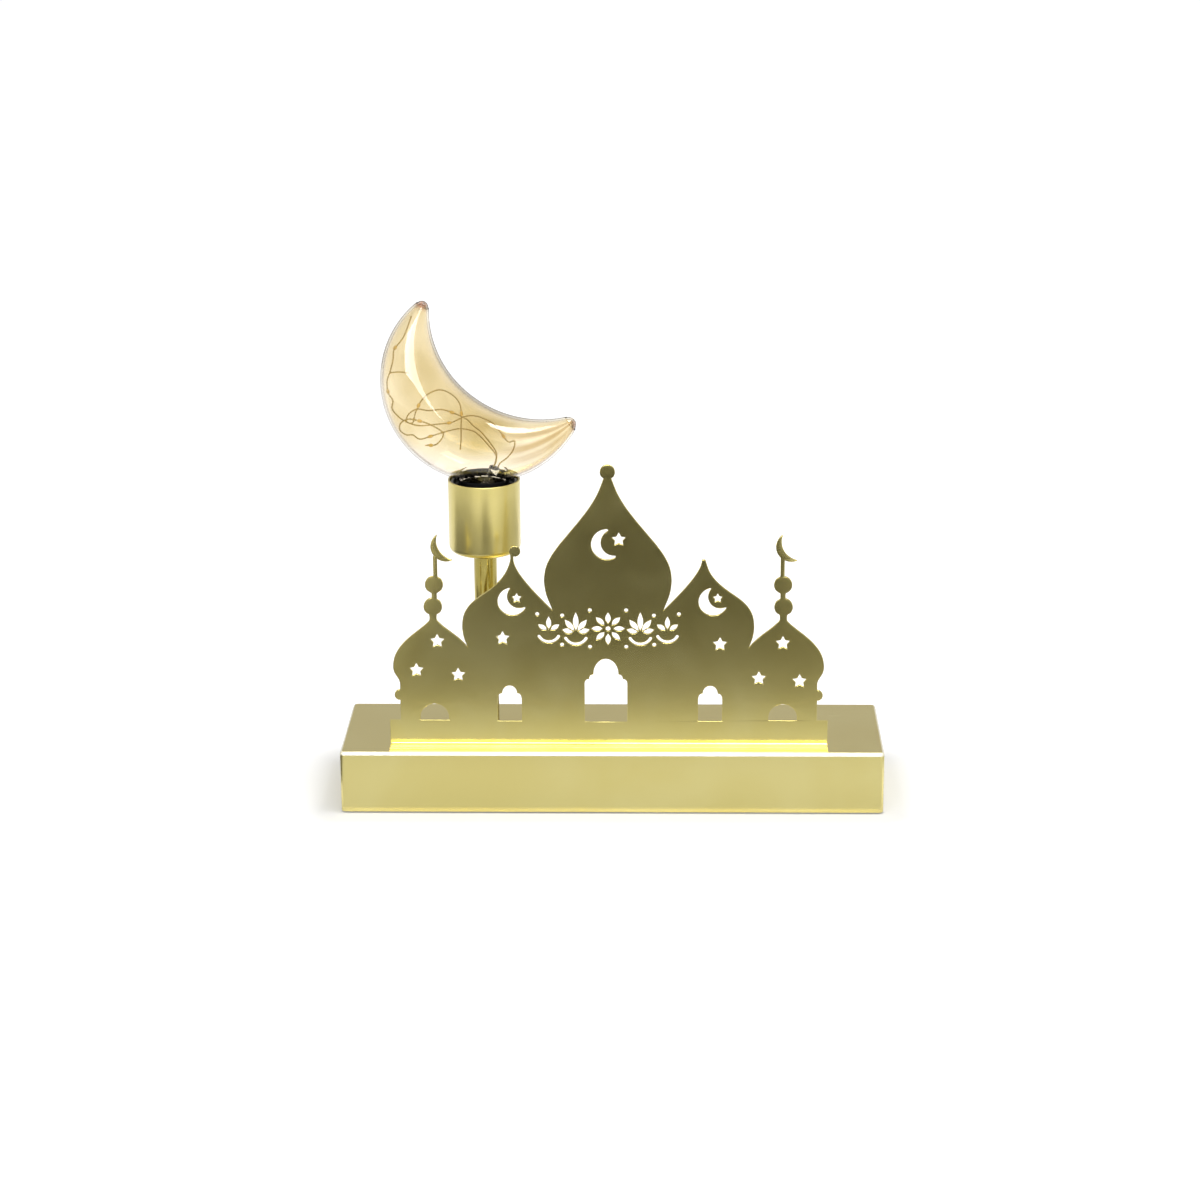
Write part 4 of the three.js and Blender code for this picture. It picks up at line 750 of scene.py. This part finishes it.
def flat_sheet(bend_top, unrolled):
    """The panel cut flat. Its foot, all that is below the bend's top, is unrolled downwards."""
    flat = bpy.data.curves.new("flat_pattern", "CURVE")
    flat.dimensions = "2D"
    flat.fill_mode = "BOTH"
    flat.extrude = PANEL_THICK / 2 - SHEET_EDGE
    flat.bevel_depth = SHEET_EDGE
    flat.bevel_resolution = 1
    flat.offset = -SHEET_EDGE
    for loop in front_loops("mosque_panel"):
        points = finer(loop)
        spline = flat.splines.new("POLY")
        spline.points.add(len(points) - 1)
        for point, (x, z) in zip(spline.points, points):
            point.co = (x, z - unrolled if z < bend_top + SAME_PLACE else z, 0, 1)
        spline.use_cyclic_u = True
    return settled(new_object("mosque_sheet", flat))


def bend_foot(bm, bend_top, front):
    """Divides an upright sheet at each step of its bend, and turns what is below the bend's top forward."""
    for k in range(BEND_STEPS + 1):
        height = bend_top - BEND_LENGTH * k / BEND_STEPS
        everything = [*bm.verts, *bm.edges, *bm.faces]
        bmesh.ops.bisect_plane(bm, geom=everything, plane_co=(0, 0, height), plane_no=(0, 0, 1),
                               dist=SAME_POINT)
    for vert in bm.verts:
        down = bend_top - vert.co.z
        radius = PANEL_BEND + vert.co.y - front
        if down > 0:
            angle = min(down / BEND_MIDDLE, math.pi / 2)
            beyond = max(down - BEND_LENGTH, 0)
            vert.co.y = front - PANEL_BEND + radius * math.cos(angle) - beyond
            vert.co.z = bend_top - radius * math.sin(angle)


def panel_sheet():
    """The panel, cut flat and then bent. Its cut edges have a finish of their own, and its flange a pale one
    that is a painted highlight.
    """
    low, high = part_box("mosque_panel")
    back, front = high.y, high.y - PANEL_THICK
    bend_top = low.z + PANEL_BEND + PANEL_THICK
    flange = front - PANEL_BEND - low.y
    piece = flat_sheet(bend_top, BEND_LENGTH + flange)
    mesh = piece.data
    upright = Matrix.Rotation(math.pi / 2, 4, "X")
    mesh.transform(Matrix.Translation((0, (front + back) / 2, 0)) @ upright)
    bm = bmesh.new()
    bm.from_mesh(mesh)
    bmesh.ops.remove_doubles(bm, verts=bm.verts, dist=SAME_POINT)
    bm.normal_update()
    sheet_face, cut_face, flange_highlight_face = range(3)
    for face in bm.faces:
        face.material_index = cut_face if abs(face.normal.y) < CUT_FACING else sheet_face
    bend_foot(bm, bend_top, front)
    # The flange and the end of its foot get the pale lacquer: a painted highlight
    for face in bm.faces:
        middle = face.calc_center_median()
        foot_end = middle.y < low.y + 2 * SHEET_EDGE
        if middle.z < bend_top and (face.material_index == sheet_face or foot_end):
            face.material_index = flange_highlight_face
    bmesh.ops.recalc_face_normals(bm, faces=bm.faces)
    bm.to_mesh(mesh)
    bm.free()
    smooth(mesh, 50)
    dress(mesh, gold_panel, gold_cut, gold_bend)
    add_modifier(piece, "WEIGHTED_NORMAL", keep_sharp=True)
    return settled(piece)


def base_box():
    """The base, with a painted highlight: its lacquer paler where the sheet is bent over the top's edges."""
    piece = eased("base_shell", "base_box", BASE_EDGE)
    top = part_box("base_shell")[1].z
    dress(piece.data, gold_base, gold_bend)
    least, most = BEND_HIGHLIGHT_FACING
    for face in piece.data.polygons:
        face.material_index = int(face.center.z > top - BASE_BEND and least < abs(face.normal.z) < most)
    return piece


finish_piece(panel_sheet(), None, "stand", ["mosque_panel"])
finish_piece(base_box(), None, "stand", ["base_shell"])


# Stem, cup and lampholder
def half_width(node):
    """Half a CAD node's size along X: the radius of a round one."""
    low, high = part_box(node)
    return (high.x - low.x) / 2


lamp_low, lamp_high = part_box("lamp_cup")
LAMP = ((lamp_low.x + lamp_high.x) / 2, (lamp_low.y + lamp_high.y) / 2)


def cup():
    """The lamp cup, spun from one sheet, with a round foot corner and a rolled rim."""
    low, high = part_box("lamp_cup")
    r, bottom, top = half_width("lamp_cup"), low.z, high.z
    inner = r - CUP_WALL
    mid = r - CUP_CORNER
    return turned("spun_cup", [
        (ROD_HOLE, bottom),
        *arc(mid, bottom + CUP_CORNER, CUP_CORNER, -90, 0, 10),
        *arc(r - CUP_RIM, top - CUP_RIM, CUP_RIM, 0, 90, 4),
        *arc(inner + CUP_RIM, top - CUP_RIM, CUP_RIM, 90, 180, 4),
        *arc(mid, bottom + CUP_CORNER, CUP_CORNER - CUP_WALL, 0, -90, 10),
        (ROD_HOLE, bottom + CUP_WALL),
    ], LAMP, 144)


def stem():
    """The stem tube, its ends' outer edges rounded."""
    low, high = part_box("stem_tube")
    r, edge = half_width("stem_tube"), STEM_EDGE
    return turned("stem_pipe", [
        *arc(r - edge, low.z + edge, edge, -90, 0, 2), *arc(r - edge, high.z - edge, edge, 0, 90, 2),
        (r - STEM_WALL, high.z), (r - STEM_WALL, low.z)], LAMP, 96)


def lampholder():
    """The lampholder: a rounded shoulder, a lip about the bulb cap and a floor under the contact block."""
    low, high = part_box("lampholder_body")
    r, bottom, top = half_width("lampholder_body"), low.z, high.z
    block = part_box("contact_block")[0].z
    lip, shoulder, soft = r - HOLDER_LIP, HOLDER_SHOULDER, HOLDER_EDGE
    ledge = top - HOLDER_LIP_DEPTH
    return turned("lampholder", [
        (ROD_HOLE, bottom), (r, bottom),
        *arc(r - shoulder, top - shoulder, shoulder, 0, 90, 5),
        *arc(lip + soft, top - soft, soft, 90, 180, 4),
        (lip, ledge + soft),
        *arc(lip - soft, ledge + soft, soft, 0, -90, 3),
        *arc(HOLDER_BORE + soft, ledge - soft, soft, 90, 180, 3),
        (HOLDER_BORE, block), (TERMINAL_BORE, block), (TERMINAL_BORE, bottom + HOLDER_FLOOR),
        (ROD_HOLE, bottom + HOLDER_FLOOR),
    ], LAMP, 96)


finish_piece(cup(), gold_spun, "stand", ["lamp_cup"])
finish_piece(stem(), gold_tube, "stand", ["stem_tube"])
finish_piece(lampholder(), black_holder, "stand", ["lampholder_body"])


# Glass moon
def moon_ball(angle):
    """Centre and radius of the ball that touches both circles, at an angle round the outer one."""
    offset = MOON_INNER + MOON_THICKNESS - MOON_RADIUS
    facing = math.cos(angle) * offset
    room = MOON_RADIUS ** 2 + offset ** 2 - MOON_INNER ** 2 - 2 * MOON_RADIUS * facing
    radius = room / (2 * (MOON_RADIUS + MOON_INNER - facing))
    direction = angle + MOON_AXIS
    reach = MOON_RADIUS - radius
    return Vector((reach * math.cos(direction) + MOON_SIDE_SHIFT, 0, reach * math.sin(direction))), radius


def moon_rings(shrink, centre):
    """Rings of points round the crescent from tip to tip, its skin drawn in by a wall."""
    start, span = MOON_TIPS[0], TAU - sum(MOON_TIPS)
    stations = []
    for i in range(MOON_STATIONS):
        angle = start + span * (0.5 - 0.5 * math.cos(math.pi * i / (MOON_STATIONS - 1)))
        (before, r0), (after, r1) = moon_ball(angle - MOON_NUDGE), moon_ball(angle + MOON_NUDGE)
        along = after - before
        slope = (r1 - r0) / along.length
        place, radius = moon_ball(angle)
        stations.append((place, radius - shrink, along.normalized(), slope))

    def ring(place, along, radius):
        out = Vector((along.z, 0, -along.x))
        return [centre + place + out * radius * math.cos(TAU * k / MOON_SIDES)
                + Vector((0, radius * math.sin(TAU * k / MOON_SIDES), 0)) for k in range(MOON_SIDES)]

    def tip(station, sign):
        place, radius, along, _ = station
        return [ring(place + along * sign * radius * length, along, radius * width)
                for length, width in MOON_TIP_SHAPE]

    body = [ring(place - along * slope * radius, along, radius * math.sqrt(1 - slope ** 2))
            for place, radius, along, slope in stations]
    return [*reversed(tip(stations[0], -1)), *body, *tip(stations[-1], 1)]


def lofted(name, rings):
    """A closed skin through rings of equally many points, its ends drawn to their middles. Its UV map
    tells how far along the rings and how far across its ring a point is."""
    bm = bmesh.new()
    made = [[bm.verts.new(p) for p in ring] for ring in rings]
    count = len(made[0])
    reach = {vert: (i / (len(made) - 1), 0.5 - 0.5 * math.cos(TAU * k / count))
             for i, ring in enumerate(made) for k, vert in enumerate(ring)}
    skin(bm, made)
    for ring in (made[0], made[-1]):
        skin(bm, [ring, [bm.verts.new(sum((v.co for v in ring), Vector()) / count)]])
    bmesh.ops.recalc_face_normals(bm, faces=bm.faces)
    layer = bm.loops.layers.uv.new("along_across")
    for face in bm.faces:
        for loop in face.loops:
            loop[layer].uv = reach.get(loop.vert, (0.0, 0.5))
    return new_object(name, made_mesh(bm, name))


def combine(piece, other, operation):
    """One solid from two, with the second one used up."""
    add_modifier(piece, "BOOLEAN", object=other, operation=operation, solver="EXACT")
    result = settled(piece)
    bpy.data.objects.remove(other)
    return result


def moon_glass():
    """The hollow moon with its neck, and the place of the crescent's centre."""
    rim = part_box("lamp_cup")[1].z
    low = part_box("moon_envelope")[0].z
    centre = Vector((*LAMP, rim - MOON_SINK + MOON_RADIUS))
    belly = centre.z - MOON_RADIUS

    def neck(shrink, bottom):
        return turned("neck", [
            (0, bottom), (NECK_RADIUS - shrink, bottom), (NECK_RADIUS - shrink, belly + NECK_TOP),
            (FLARE_RADIUS - shrink, belly + FLARE_FOOT), (FLARE_RADIUS - shrink, belly + FLARE_TOP),
            (0, belly + FLARE_TOP)], LAMP, 72)

    outside = combine(lofted("moon_glass", moon_rings(0, centre)), neck(0, low), "UNION")
    hollow = neck(GLASS_WALL, low - NECK_THROUGH)
    inside = combine(lofted("moon_inside", moon_rings(GLASS_WALL, centre)), hollow, "UNION")
    glass = combine(outside, inside, "DIFFERENCE")
    glass.name = "moon_glass"
    smooth(glass.data, 60)
    return glass, centre


moon, moon_centre = moon_glass()
finish_piece(moon, amber, "bulb", ["moon_envelope"])


# Glass press and fairy wires
def press_place():
    """Where the press's stalk stands on its disc, leaning."""
    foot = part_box("glass_mount")[0].z + MOUNT_FLARE
    return Matrix.Translation((LAMP[0] + MOUNT_SIDE, LAMP[1], foot)) @ Matrix.Rotation(MOUNT_LEAN, 4, "Y")


def glass_press():
    """A flared disc with a leaning stalk that is pinched below its top, its foot painted black where it sits
    in the neck: painted shade.
    """
    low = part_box("glass_mount")[0].z
    top, rim, edge = low + MOUNT_FLARE, MOUNT_DISC - MOUNT_EDGE, MOUNT_EDGE
    flare = turned("press_glass", [
        (0, low), (rim, low), *arc(rim, low + edge, edge, -90, 0, 3), *arc(rim, top - edge, edge, 0, 90, 3),
        (0, top)], LAMP, 64)
    r, h = MOUNT_RADIUS, MOUNT_HEIGHT
    stalk = turned("stalk", [
        (0, 1.6 * MM), (r + MOUNT_COLLAR, 1.6 * MM), (r, 4 * MM), (r * 0.84, h * 0.6), (r * 0.8, h - 3 * MM),
        (r, h - 1.5 * MM), (r * 0.94, h - 0.5 * MM), (r * 0.7, h), (0, h)], (0, 0), 48)
    stalk.data.transform(press_place())
    piece = combine(flare, stalk, "UNION")
    smooth(piece.data, 50)
    dress(piece.data, clear, black_holder)
    for face in piece.data.polygons:
        face.material_index = int(face.center.z < low + PRESS_SHADE_HEIGHT)
    return piece


def string_tree():
    """Two fine strands twisted about each other along a path, with a resin bead at each marked point."""
    labels = ("Strand Radius", "Twist Length", "Bead Radius", "Bead Length")
    g = GeometryTree("fairy_string", {label: "Float" for label in labels})
    line = g.node("GeometryNodeMeshToCurve", sockets={"Mesh": g.given("Geometry")})
    length = g.node("GeometryNodeSplineParameter", out="Length")
    tilt = length.maths("DIVIDE", length, g.given("Twist Length")) * TAU
    twisted = g.node("GeometryNodeSetCurveTilt", sockets={"Curve": line, "Tilt": tilt})
    radius = g.given("Strand Radius")
    strand = g.node("GeometryNodeCurvePrimitiveCircle", sockets={"Resolution": 8, "Radius": radius})
    pair = []
    for apart in (STRAND_APART, -STRAND_APART):
        shift = g.node("ShaderNodeCombineXYZ", sockets={"X": radius * apart})
        pair.append(g.node("GeometryNodeTransform", sockets={"Geometry": strand, "Translation": shift}))
    profile = g.node("GeometryNodeJoinGeometry", sockets={"Geometry": pair})
    strands = g.node("GeometryNodeCurveToMesh", sockets={
        "Curve": twisted, "Profile Curve": profile, "Fill Caps": True})
    strands = g.node("GeometryNodeSetMaterial", sockets={"Geometry": strands, "Material": copper})
    marked = g.node("GeometryNodeInputNamedAttribute", {"data_type": "BOOLEAN"}, {"Name": "bead"},
                    out="Attribute")
    tangent = g.node("GeometryNodeInputTangent")
    turned_to = g.node("FunctionNodeAlignRotationToVector", {"axis": "Z"}, {"Vector": tangent})
    ball = g.node("GeometryNodeMeshUVSphere", sockets={"Segments": 20, "Rings": 14, "Radius": 1.0})
    size = g.node("ShaderNodeCombineXYZ", sockets={
        "X": g.given("Bead Radius"), "Y": g.given("Bead Radius"), "Z": g.given("Bead Length") * 0.5})
    beads = g.node("GeometryNodeInstanceOnPoints", sockets={
        "Points": line, "Selection": marked, "Instance": ball, "Rotation": turned_to, "Scale": size})
    beads = g.node("GeometryNodeSetShadeSmooth", sockets={"Geometry": beads})
    beads = g.node("GeometryNodeSetMaterial", sockets={"Geometry": beads, "Material": resin})
    whole = g.node("GeometryNodeJoinGeometry", sockets={"Geometry": [beads, strands]})
    return g.finished(g.node("GeometryNodeRealizeInstances", sockets={"Geometry": whole}))


def set_inputs(modifier, values):
    """Sets a tree's named inputs by their sockets' identifiers."""
    for item in modifier.node_group.interface.items_tree:
        if item.in_out == "INPUT" and item.name in values:
            modifier[item.identifier] = values[item.name]


def fairy_string(name, tree, start, beads, points, twig=()):
    """A fairy wire along its route from the press's top, with a plain twig if the route has one."""
    leaving = [press_place() @ Vector((start[0] * MM, start[1] * MM, MOUNT_HEIGHT + up))
               for up in (FIT_GAP, WIRE_LEAD)]
    path = smooth_path([*leaving, *(moon_centre + Vector(p) * MM for p in points)], WIRE_STEP)
    side = smooth_path([moon_centre + Vector(p) * MM for p in twig], WIRE_STEP) if twig else []
    mesh = bpy.data.meshes.new(name)
    joints = [(i, i + 1) for i in range(len(path) + len(side) - 1) if i != len(path) - 1]
    mesh.from_pydata(path + side, joints, [])
    marks = mesh.attributes.new("bead", "BOOLEAN", "POINT")
    lengths = [0.0]
    for a, b in zip(path, path[1:]):
        lengths.append(lengths[-1] + (b - a).length)
    for share in beads:
        nearest = min(range(len(path)), key=lambda i: abs(lengths[i] - share * lengths[-1]))
        marks.data[nearest].value = True
    piece = new_object(name.replace("wire", "string"), mesh)
    set_inputs(add_modifier(piece, "NODES", node_group=tree), {
        "Strand Radius": STRAND_RADIUS, "Twist Length": STRAND_TWIST, "Bead Radius": BEAD_RADIUS,
        "Bead Length": BEAD_LENGTH})
    return settled(piece)


finish_piece(glass_press(), None, "bulb", ["glass_mount"])
strings = string_tree()
for wire_name, route in FAIRY_ROUTES.items():
    finish_piece(fairy_string(wire_name, strings, **route), None, "bulb", [wire_name])


# Bulb cap with its rolled thread
def rolled_cap():
    """The bulb's cap: thin metal with a rolled thread, a step and a plain skirt, open at its top and with a
    hole in its floor for the insulator."""
    low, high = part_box("bulb_cap")
    skirt = half_width("bulb_cap")
    thread_top = low.z + THREAD_HEIGHT
    mean = skirt - CAP_STEP - THREAD_DEPTH / 2

    def thread(inset, bottom, top):
        """Rings of the wave that the thread makes, fading in and out at both its ends."""
        rings = []
        for i in range(THREAD_ROWS + 1):
            share = i / THREAD_ROWS
            z = bottom + (top - bottom) * share
            fade = min(1.0, THREAD_FADE * share, THREAD_FADE * (1 - share))
            ring = []
            for k in range(CAP_SIDES):
                turn = k / CAP_SIDES
                wave = math.cos(TAU * (THREAD_TURNS * (z - low.z) / THREAD_HEIGHT - turn))
                r = mean - inset + fade * THREAD_DEPTH / 2 * wave
                ring.append((LAMP[0] + r * math.cos(TAU * turn), LAMP[1] + r * math.sin(TAU * turn), z))
            rings.append(ring)
        return rings

    def plain(points):
        return [circle(r, z, CAP_SIDES, LAMP) for r, z in points]

    floor_hole = mean - THREAD_DEPTH / 2 - CAP_FLOOR_RING
    bore = skirt - CAP_METAL
    rings = [
        *plain([(floor_hole, low.z), (mean - 2 * CAP_METAL, low.z)]),
        *thread(0, low.z + CAP_METAL, thread_top),
        *plain([(skirt - CAP_EDGE, thread_top + CAP_EDGE / 2), (skirt, thread_top + 2 * CAP_EDGE),
                (skirt, high.z - CAP_EDGE), (skirt - CAP_EDGE, high.z), (bore, high.z),
                (bore, thread_top + CAP_METAL)]),
        *reversed(thread(CAP_METAL, low.z + 2 * CAP_METAL, thread_top + CAP_EDGE)),
        *plain([(mean - 3 * CAP_METAL, low.z + CAP_METAL), (floor_hole, low.z + CAP_METAL)]),
    ]
    bm = bmesh.new()
    skin(bm, [[bm.verts.new(place) for place in ring] for ring in rings], closed=True)
    bmesh.ops.recalc_face_normals(bm, faces=bm.faces)
    return new_object("rolled_cap", made_mesh(bm, "rolled_cap", 50))


finish_piece(rolled_cap(), black_nickel, "bulb", ["bulb_cap"])


# Screws and feet, each kind made once and copied to its places
def copies_tree():
    """Copies of one piece, one at each point of the mesh."""
    g = GeometryTree("copies", {"Piece": "Object", "Look": "Material"})
    source = g.node("GeometryNodeObjectInfo", sockets={"Object": g.given("Piece")}, out="Geometry")
    points, look = g.given("Geometry"), g.given("Look")
    copies = g.node("GeometryNodeInstanceOnPoints", sockets={"Points": points, "Instance": source})
    real = g.node("GeometryNodeRealizeInstances", sockets={"Geometry": copies})
    return g.finished(g.node("GeometryNodeSetMaterial", sockets={"Geometry": real, "Material": look}))


def copied(name, tree, source, node_names, look):
    """Copies of a source made about the origin, each standing on the foot of its CAD node's box."""
    mesh = bpy.data.meshes.new(name)
    boxes = [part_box(node) for node in node_names]
    mesh.from_pydata([((a.x + b.x) / 2, (a.y + b.y) / 2, a.z) for a, b in boxes], [], [])
    piece = new_object(name, mesh)
    set_inputs(add_modifier(piece, "NODES", node_group=tree), {"Piece": source, "Look": look})
    result = settled(piece)
    bpy.data.objects.remove(source)
    smooth(result.data)
    return result


def cross_screw(node):
    """A countersunk screw, point up, with a rolled thread and a cross recess in its head."""
    low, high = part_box(node)
    head, length, shank = half_width(node) - SEAT_GAP, high.z - low.z, SCREW_RADIUS
    profile = [(0, 0), (head - 0.15 * MM, 0), (head, 0.12 * MM), (shank, SCREW_HEAD)]
    for i in range(int((length - SCREW_PITCH - SCREW_HEAD) / SCREW_PITCH)):
        z = SCREW_HEAD + i * SCREW_PITCH
        root = shank - 0.3 * MM
        profile += [(root, z + 0.15 * MM), (root, z + 0.35 * MM), (shank, z + 0.5 * MM)]
    piece = turned("screw", [*profile, (shank - 0.6 * MM, length), (0, length)], (0, 0), 32)
    for turn in (RECESS_TURN, RECESS_TURN + math.pi / 2):
        bm = bmesh.new()
        made = bmesh.ops.create_cube(bm, size=2)["verts"]
        for vert in made:
            x, y, z = vert.co
            reach, half, z = (0.45, 0.75, RECESS_DEPTH) if z > 0 else (1.05, 1.05, -RECESS_ABOVE)
            vert.co = (x * RECESS_REACH * reach, y * RECESS_HALF * half, z)
        bmesh.ops.rotate(bm, verts=made, cent=(0, 0, 0), matrix=Matrix.Rotation(turn, 3, "Z"))
        piece = combine(piece, new_object("recess", made_mesh(bm, "recess")), "DIFFERENCE")
    return piece


def stick_on_foot(node):
    """A rubber foot with a rounded rim and a shallow dished face."""
    low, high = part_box(node)
    r, h, rim = half_width(node) - SEAT_GAP, high.z - low.z, FOOT_RIM
    return turned("foot", [(0, 0.25 * MM), (r * 0.55, 0.2 * MM), (r * 0.72, 0), (r - rim, 0),
                           *arc(r - rim, rim, rim, -90, 0, 6), (r, h), (0, h)], (0, 0), 64)


copies = copies_tree()
for piece_name, make, node_names, look, slot in (
        ("cover_screws", cross_screw, [f"cover_screw_{i}" for i in range(1, 5)], zinc, "zinc_steel"),
        ("box_screws", cross_screw, ["box_screw_1", "box_screw_2"], zinc, "zinc_steel"),
        ("feet", stick_on_foot, [f"foot_{i}" for i in range(1, 5)], rubber, None)):
    piece = copied(piece_name, copies, make(node_names[0]), node_names, look)
    finish_piece(piece, look, "stand", node_names)


def cell(node, name, nub_side):
    """A cell: plain sleeve shrunk over both rims, bright ends and a nub on one side."""
    low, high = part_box(node)
    centre, length = (low + high) / 2, high.x - low.x
    r, body = (high.z - low.z) / 2 - SEAT_GAP, length - CELL_NUB
    nub = CELL_NUB_RADIUS
    piece = turned(name, [
        (0, 0.2 * MM), (r - 1.6 * MM, 0.2 * MM), (r - 1.4 * MM, 0), (r - 0.5 * MM, 0),
        *arc(r - 0.5 * MM, 0.5 * MM, 0.5 * MM, -60, 0, 4),
        *arc(r - 0.8 * MM, body - 0.8 * MM, 0.8 * MM, 0, 90, 5),
        (r - 1.5 * MM, body), (r - 1.7 * MM, body - 0.3 * MM), (nub + 0.4 * MM, body - 0.3 * MM),
        (nub, body + 0.1 * MM), *arc(nub - 0.3 * MM, length - 0.3 * MM, 0.3 * MM, 0, 90, 4), (0, length)],
        (0, 0), 64)
    dress(piece.data, sleeve, nickel)
    for face in piece.data.polygons:
        face.material_index = int(math.hypot(face.center.x, face.center.y) < r - CELL_SLEEVE_LAP)
    start = Vector((low.x if nub_side > 0 else high.x, centre.y, centre.z))
    piece.data.transform(Matrix.Translation(start) @ Matrix.Rotation(nub_side * math.pi / 2, 4, "Y"))
    return piece


for node_name, nub_side in (("cell_1", -1), ("cell_2", 1), ("cell_3", -1)):
    finish_piece(cell(node_name, node_name.replace("_", "_sleeve_"), nub_side), None, "stand", [node_name])

# Underside, battery bay and nuts, their edges eased
for node_name, piece_name, look, edge, slot in (
        ("bottom_plate", "plate", black_case, 0.2, "black_plastic"),
        ("battery_door", "door_leaf", black_case, 0.2, "black_plastic"),
        ("battery_box", "cell_case", black_case, 0.25, "black_plastic"),
        ("switch_knob", "knob", black_case, 0.12, "black_plastic"),
        ("switch_body", "switch_can", zinc, 0.15, "zinc_steel"),
        ("base_nut", "nut_below", zinc, 0.2, "zinc_steel"),
        ("cup_nut", "nut_above", zinc, 0.2, "zinc_steel")):
    owner = nodes[node_name]["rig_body"]
    finish_piece(eased(node_name, piece_name, edge * MM), look, owner, [node_name])


# Stage: a pale floor, a white background, soft lamps, cards and the camera
def sheet(name, corners, look):
    """A flat piece of the stage."""
    mesh = bpy.data.meshes.new(name)
    mesh.from_pydata(corners, [], [range(len(corners))])
    dress(mesh, look)
    piece = new_object(name, mesh)
    return piece


def floor():
    """Matt paper with a glow that direct looks see, stronger away from the object, and clear from below."""
    f = Finish("stage_floor")
    here = f.node("ShaderNodeTexCoord", out="Object")
    past = f.vector("SUBTRACT", f.vector("ABSOLUTE", here), BASE_HALF)
    away = f.vector("LENGTH", f.vector("MAXIMUM", past), out=1)
    near, gain = FLOOR_GLOW
    strength = f.direct_look() * (f.ramp(away * (1 / FLOOR_FADE), FLOOR_RISE) * gain + near)
    matt = f.node("ShaderNodeBsdfDiffuse", sockets={"Color": FLOOR_GREY})
    glow = f.node("ShaderNodeEmission", sockets={"Color": WHITE, "Strength": strength})
    lit = f.node("ShaderNodeAddShader", sockets={0: matt, 1: glow})
    clear_side = f.node("ShaderNodeBsdfTransparent")
    below = f.node("ShaderNodeNewGeometry", out="Backfacing")
    f.output(f.node("ShaderNodeMixShader", sockets={0: below, 1: lit, 2: clear_side}))
    half = FLOOR_HALF
    sheet("floor", [(-half, -half, 0), (half, -half, 0), (half, half, 0), (-half, half, 0)], f.owner)


def background():
    """White to direct looks, and a softer light on everything."""
    world = bpy.data.worlds.new("studio")
    bpy.context.scene.world = world
    f = Finish("studio", world)
    white = f.node("ShaderNodeBackground", sockets={"Color": WHITE, "Strength": 1.0})
    soft = f.node("ShaderNodeBackground", sockets={"Color": WHITE, "Strength": SOFT_LIGHT})
    f.output(f.node("ShaderNodeMixShader", sockets={0: f.direct_look(), 1: soft, 2: white}))


def lamp(name, place, target, size, power):
    """A soft lamp that the camera doesn't see."""
    light = bpy.data.lights.new(name, "AREA")
    light.shape = "RECTANGLE"
    light.size, light.size_y = size
    light.energy = power
    piece = new_object(name, light)
    piece.location = place
    piece.rotation_euler = (Vector(target) - Vector(place)).to_track_quat("-Z", "Y").to_euler()
    piece.visible_camera = False


def card(name, corners, shades):
    """A card that only mirrored looks see, as a flag beside the lens would be, shaded along Y or plain."""
    f = Finish(name)
    shade = shades
    if isinstance(shades, list):
        low, high = shades[0][0], shades[-1][0]
        along = (f.coordinate("Object", 1) - low) * (1 / (high - low))
        shade = f.ramp(along, [((y - low) / (high - low), value) for y, value in shades])
    f.output(f.node("ShaderNodeEmission", sockets={"Color": shade, "Strength": 1.0}))
    piece = sheet(name, corners, f.owner)
    for kind in ("camera", "diffuse", "transmission", "volume_scatter", "shadow"):
        setattr(piece, f"visible_{kind}", False)


def camera():
    """The camera, turned by its yaw, pitch and roll from looking along +Y."""
    cos_pitch, sin_pitch = math.cos(CAMERA_PITCH), math.sin(CAMERA_PITCH)
    ahead = Vector((math.sin(CAMERA_YAW) * cos_pitch, math.cos(CAMERA_YAW) * cos_pitch, -sin_pitch))
    level = Vector((math.cos(CAMERA_YAW), -math.sin(CAMERA_YAW), 0))
    upright = level.cross(ahead)
    right = level * math.cos(CAMERA_ROLL) - upright * math.sin(CAMERA_ROLL)
    up = right.cross(ahead)
    data = bpy.data.cameras.new("camera")
    data.sensor_width = CAMERA_SENSOR
    data.lens = CAMERA_LENS
    data.clip_start = CAMERA_NEAR
    piece = new_object("camera", data)
    turn = Matrix((right, up, -ahead)).transposed().to_4x4()
    piece.matrix_world = Matrix.Translation(CAMERA_PLACE) @ turn
    bpy.context.scene.camera = piece


floor()
background()
for lamp_name, settings in LAMPS.items():
    lamp(lamp_name, *settings)
for card_name, settings in CARDS.items():
    card(card_name, *settings)
camera()
bpy.context.scene.view_settings.view_transform = "Standard"
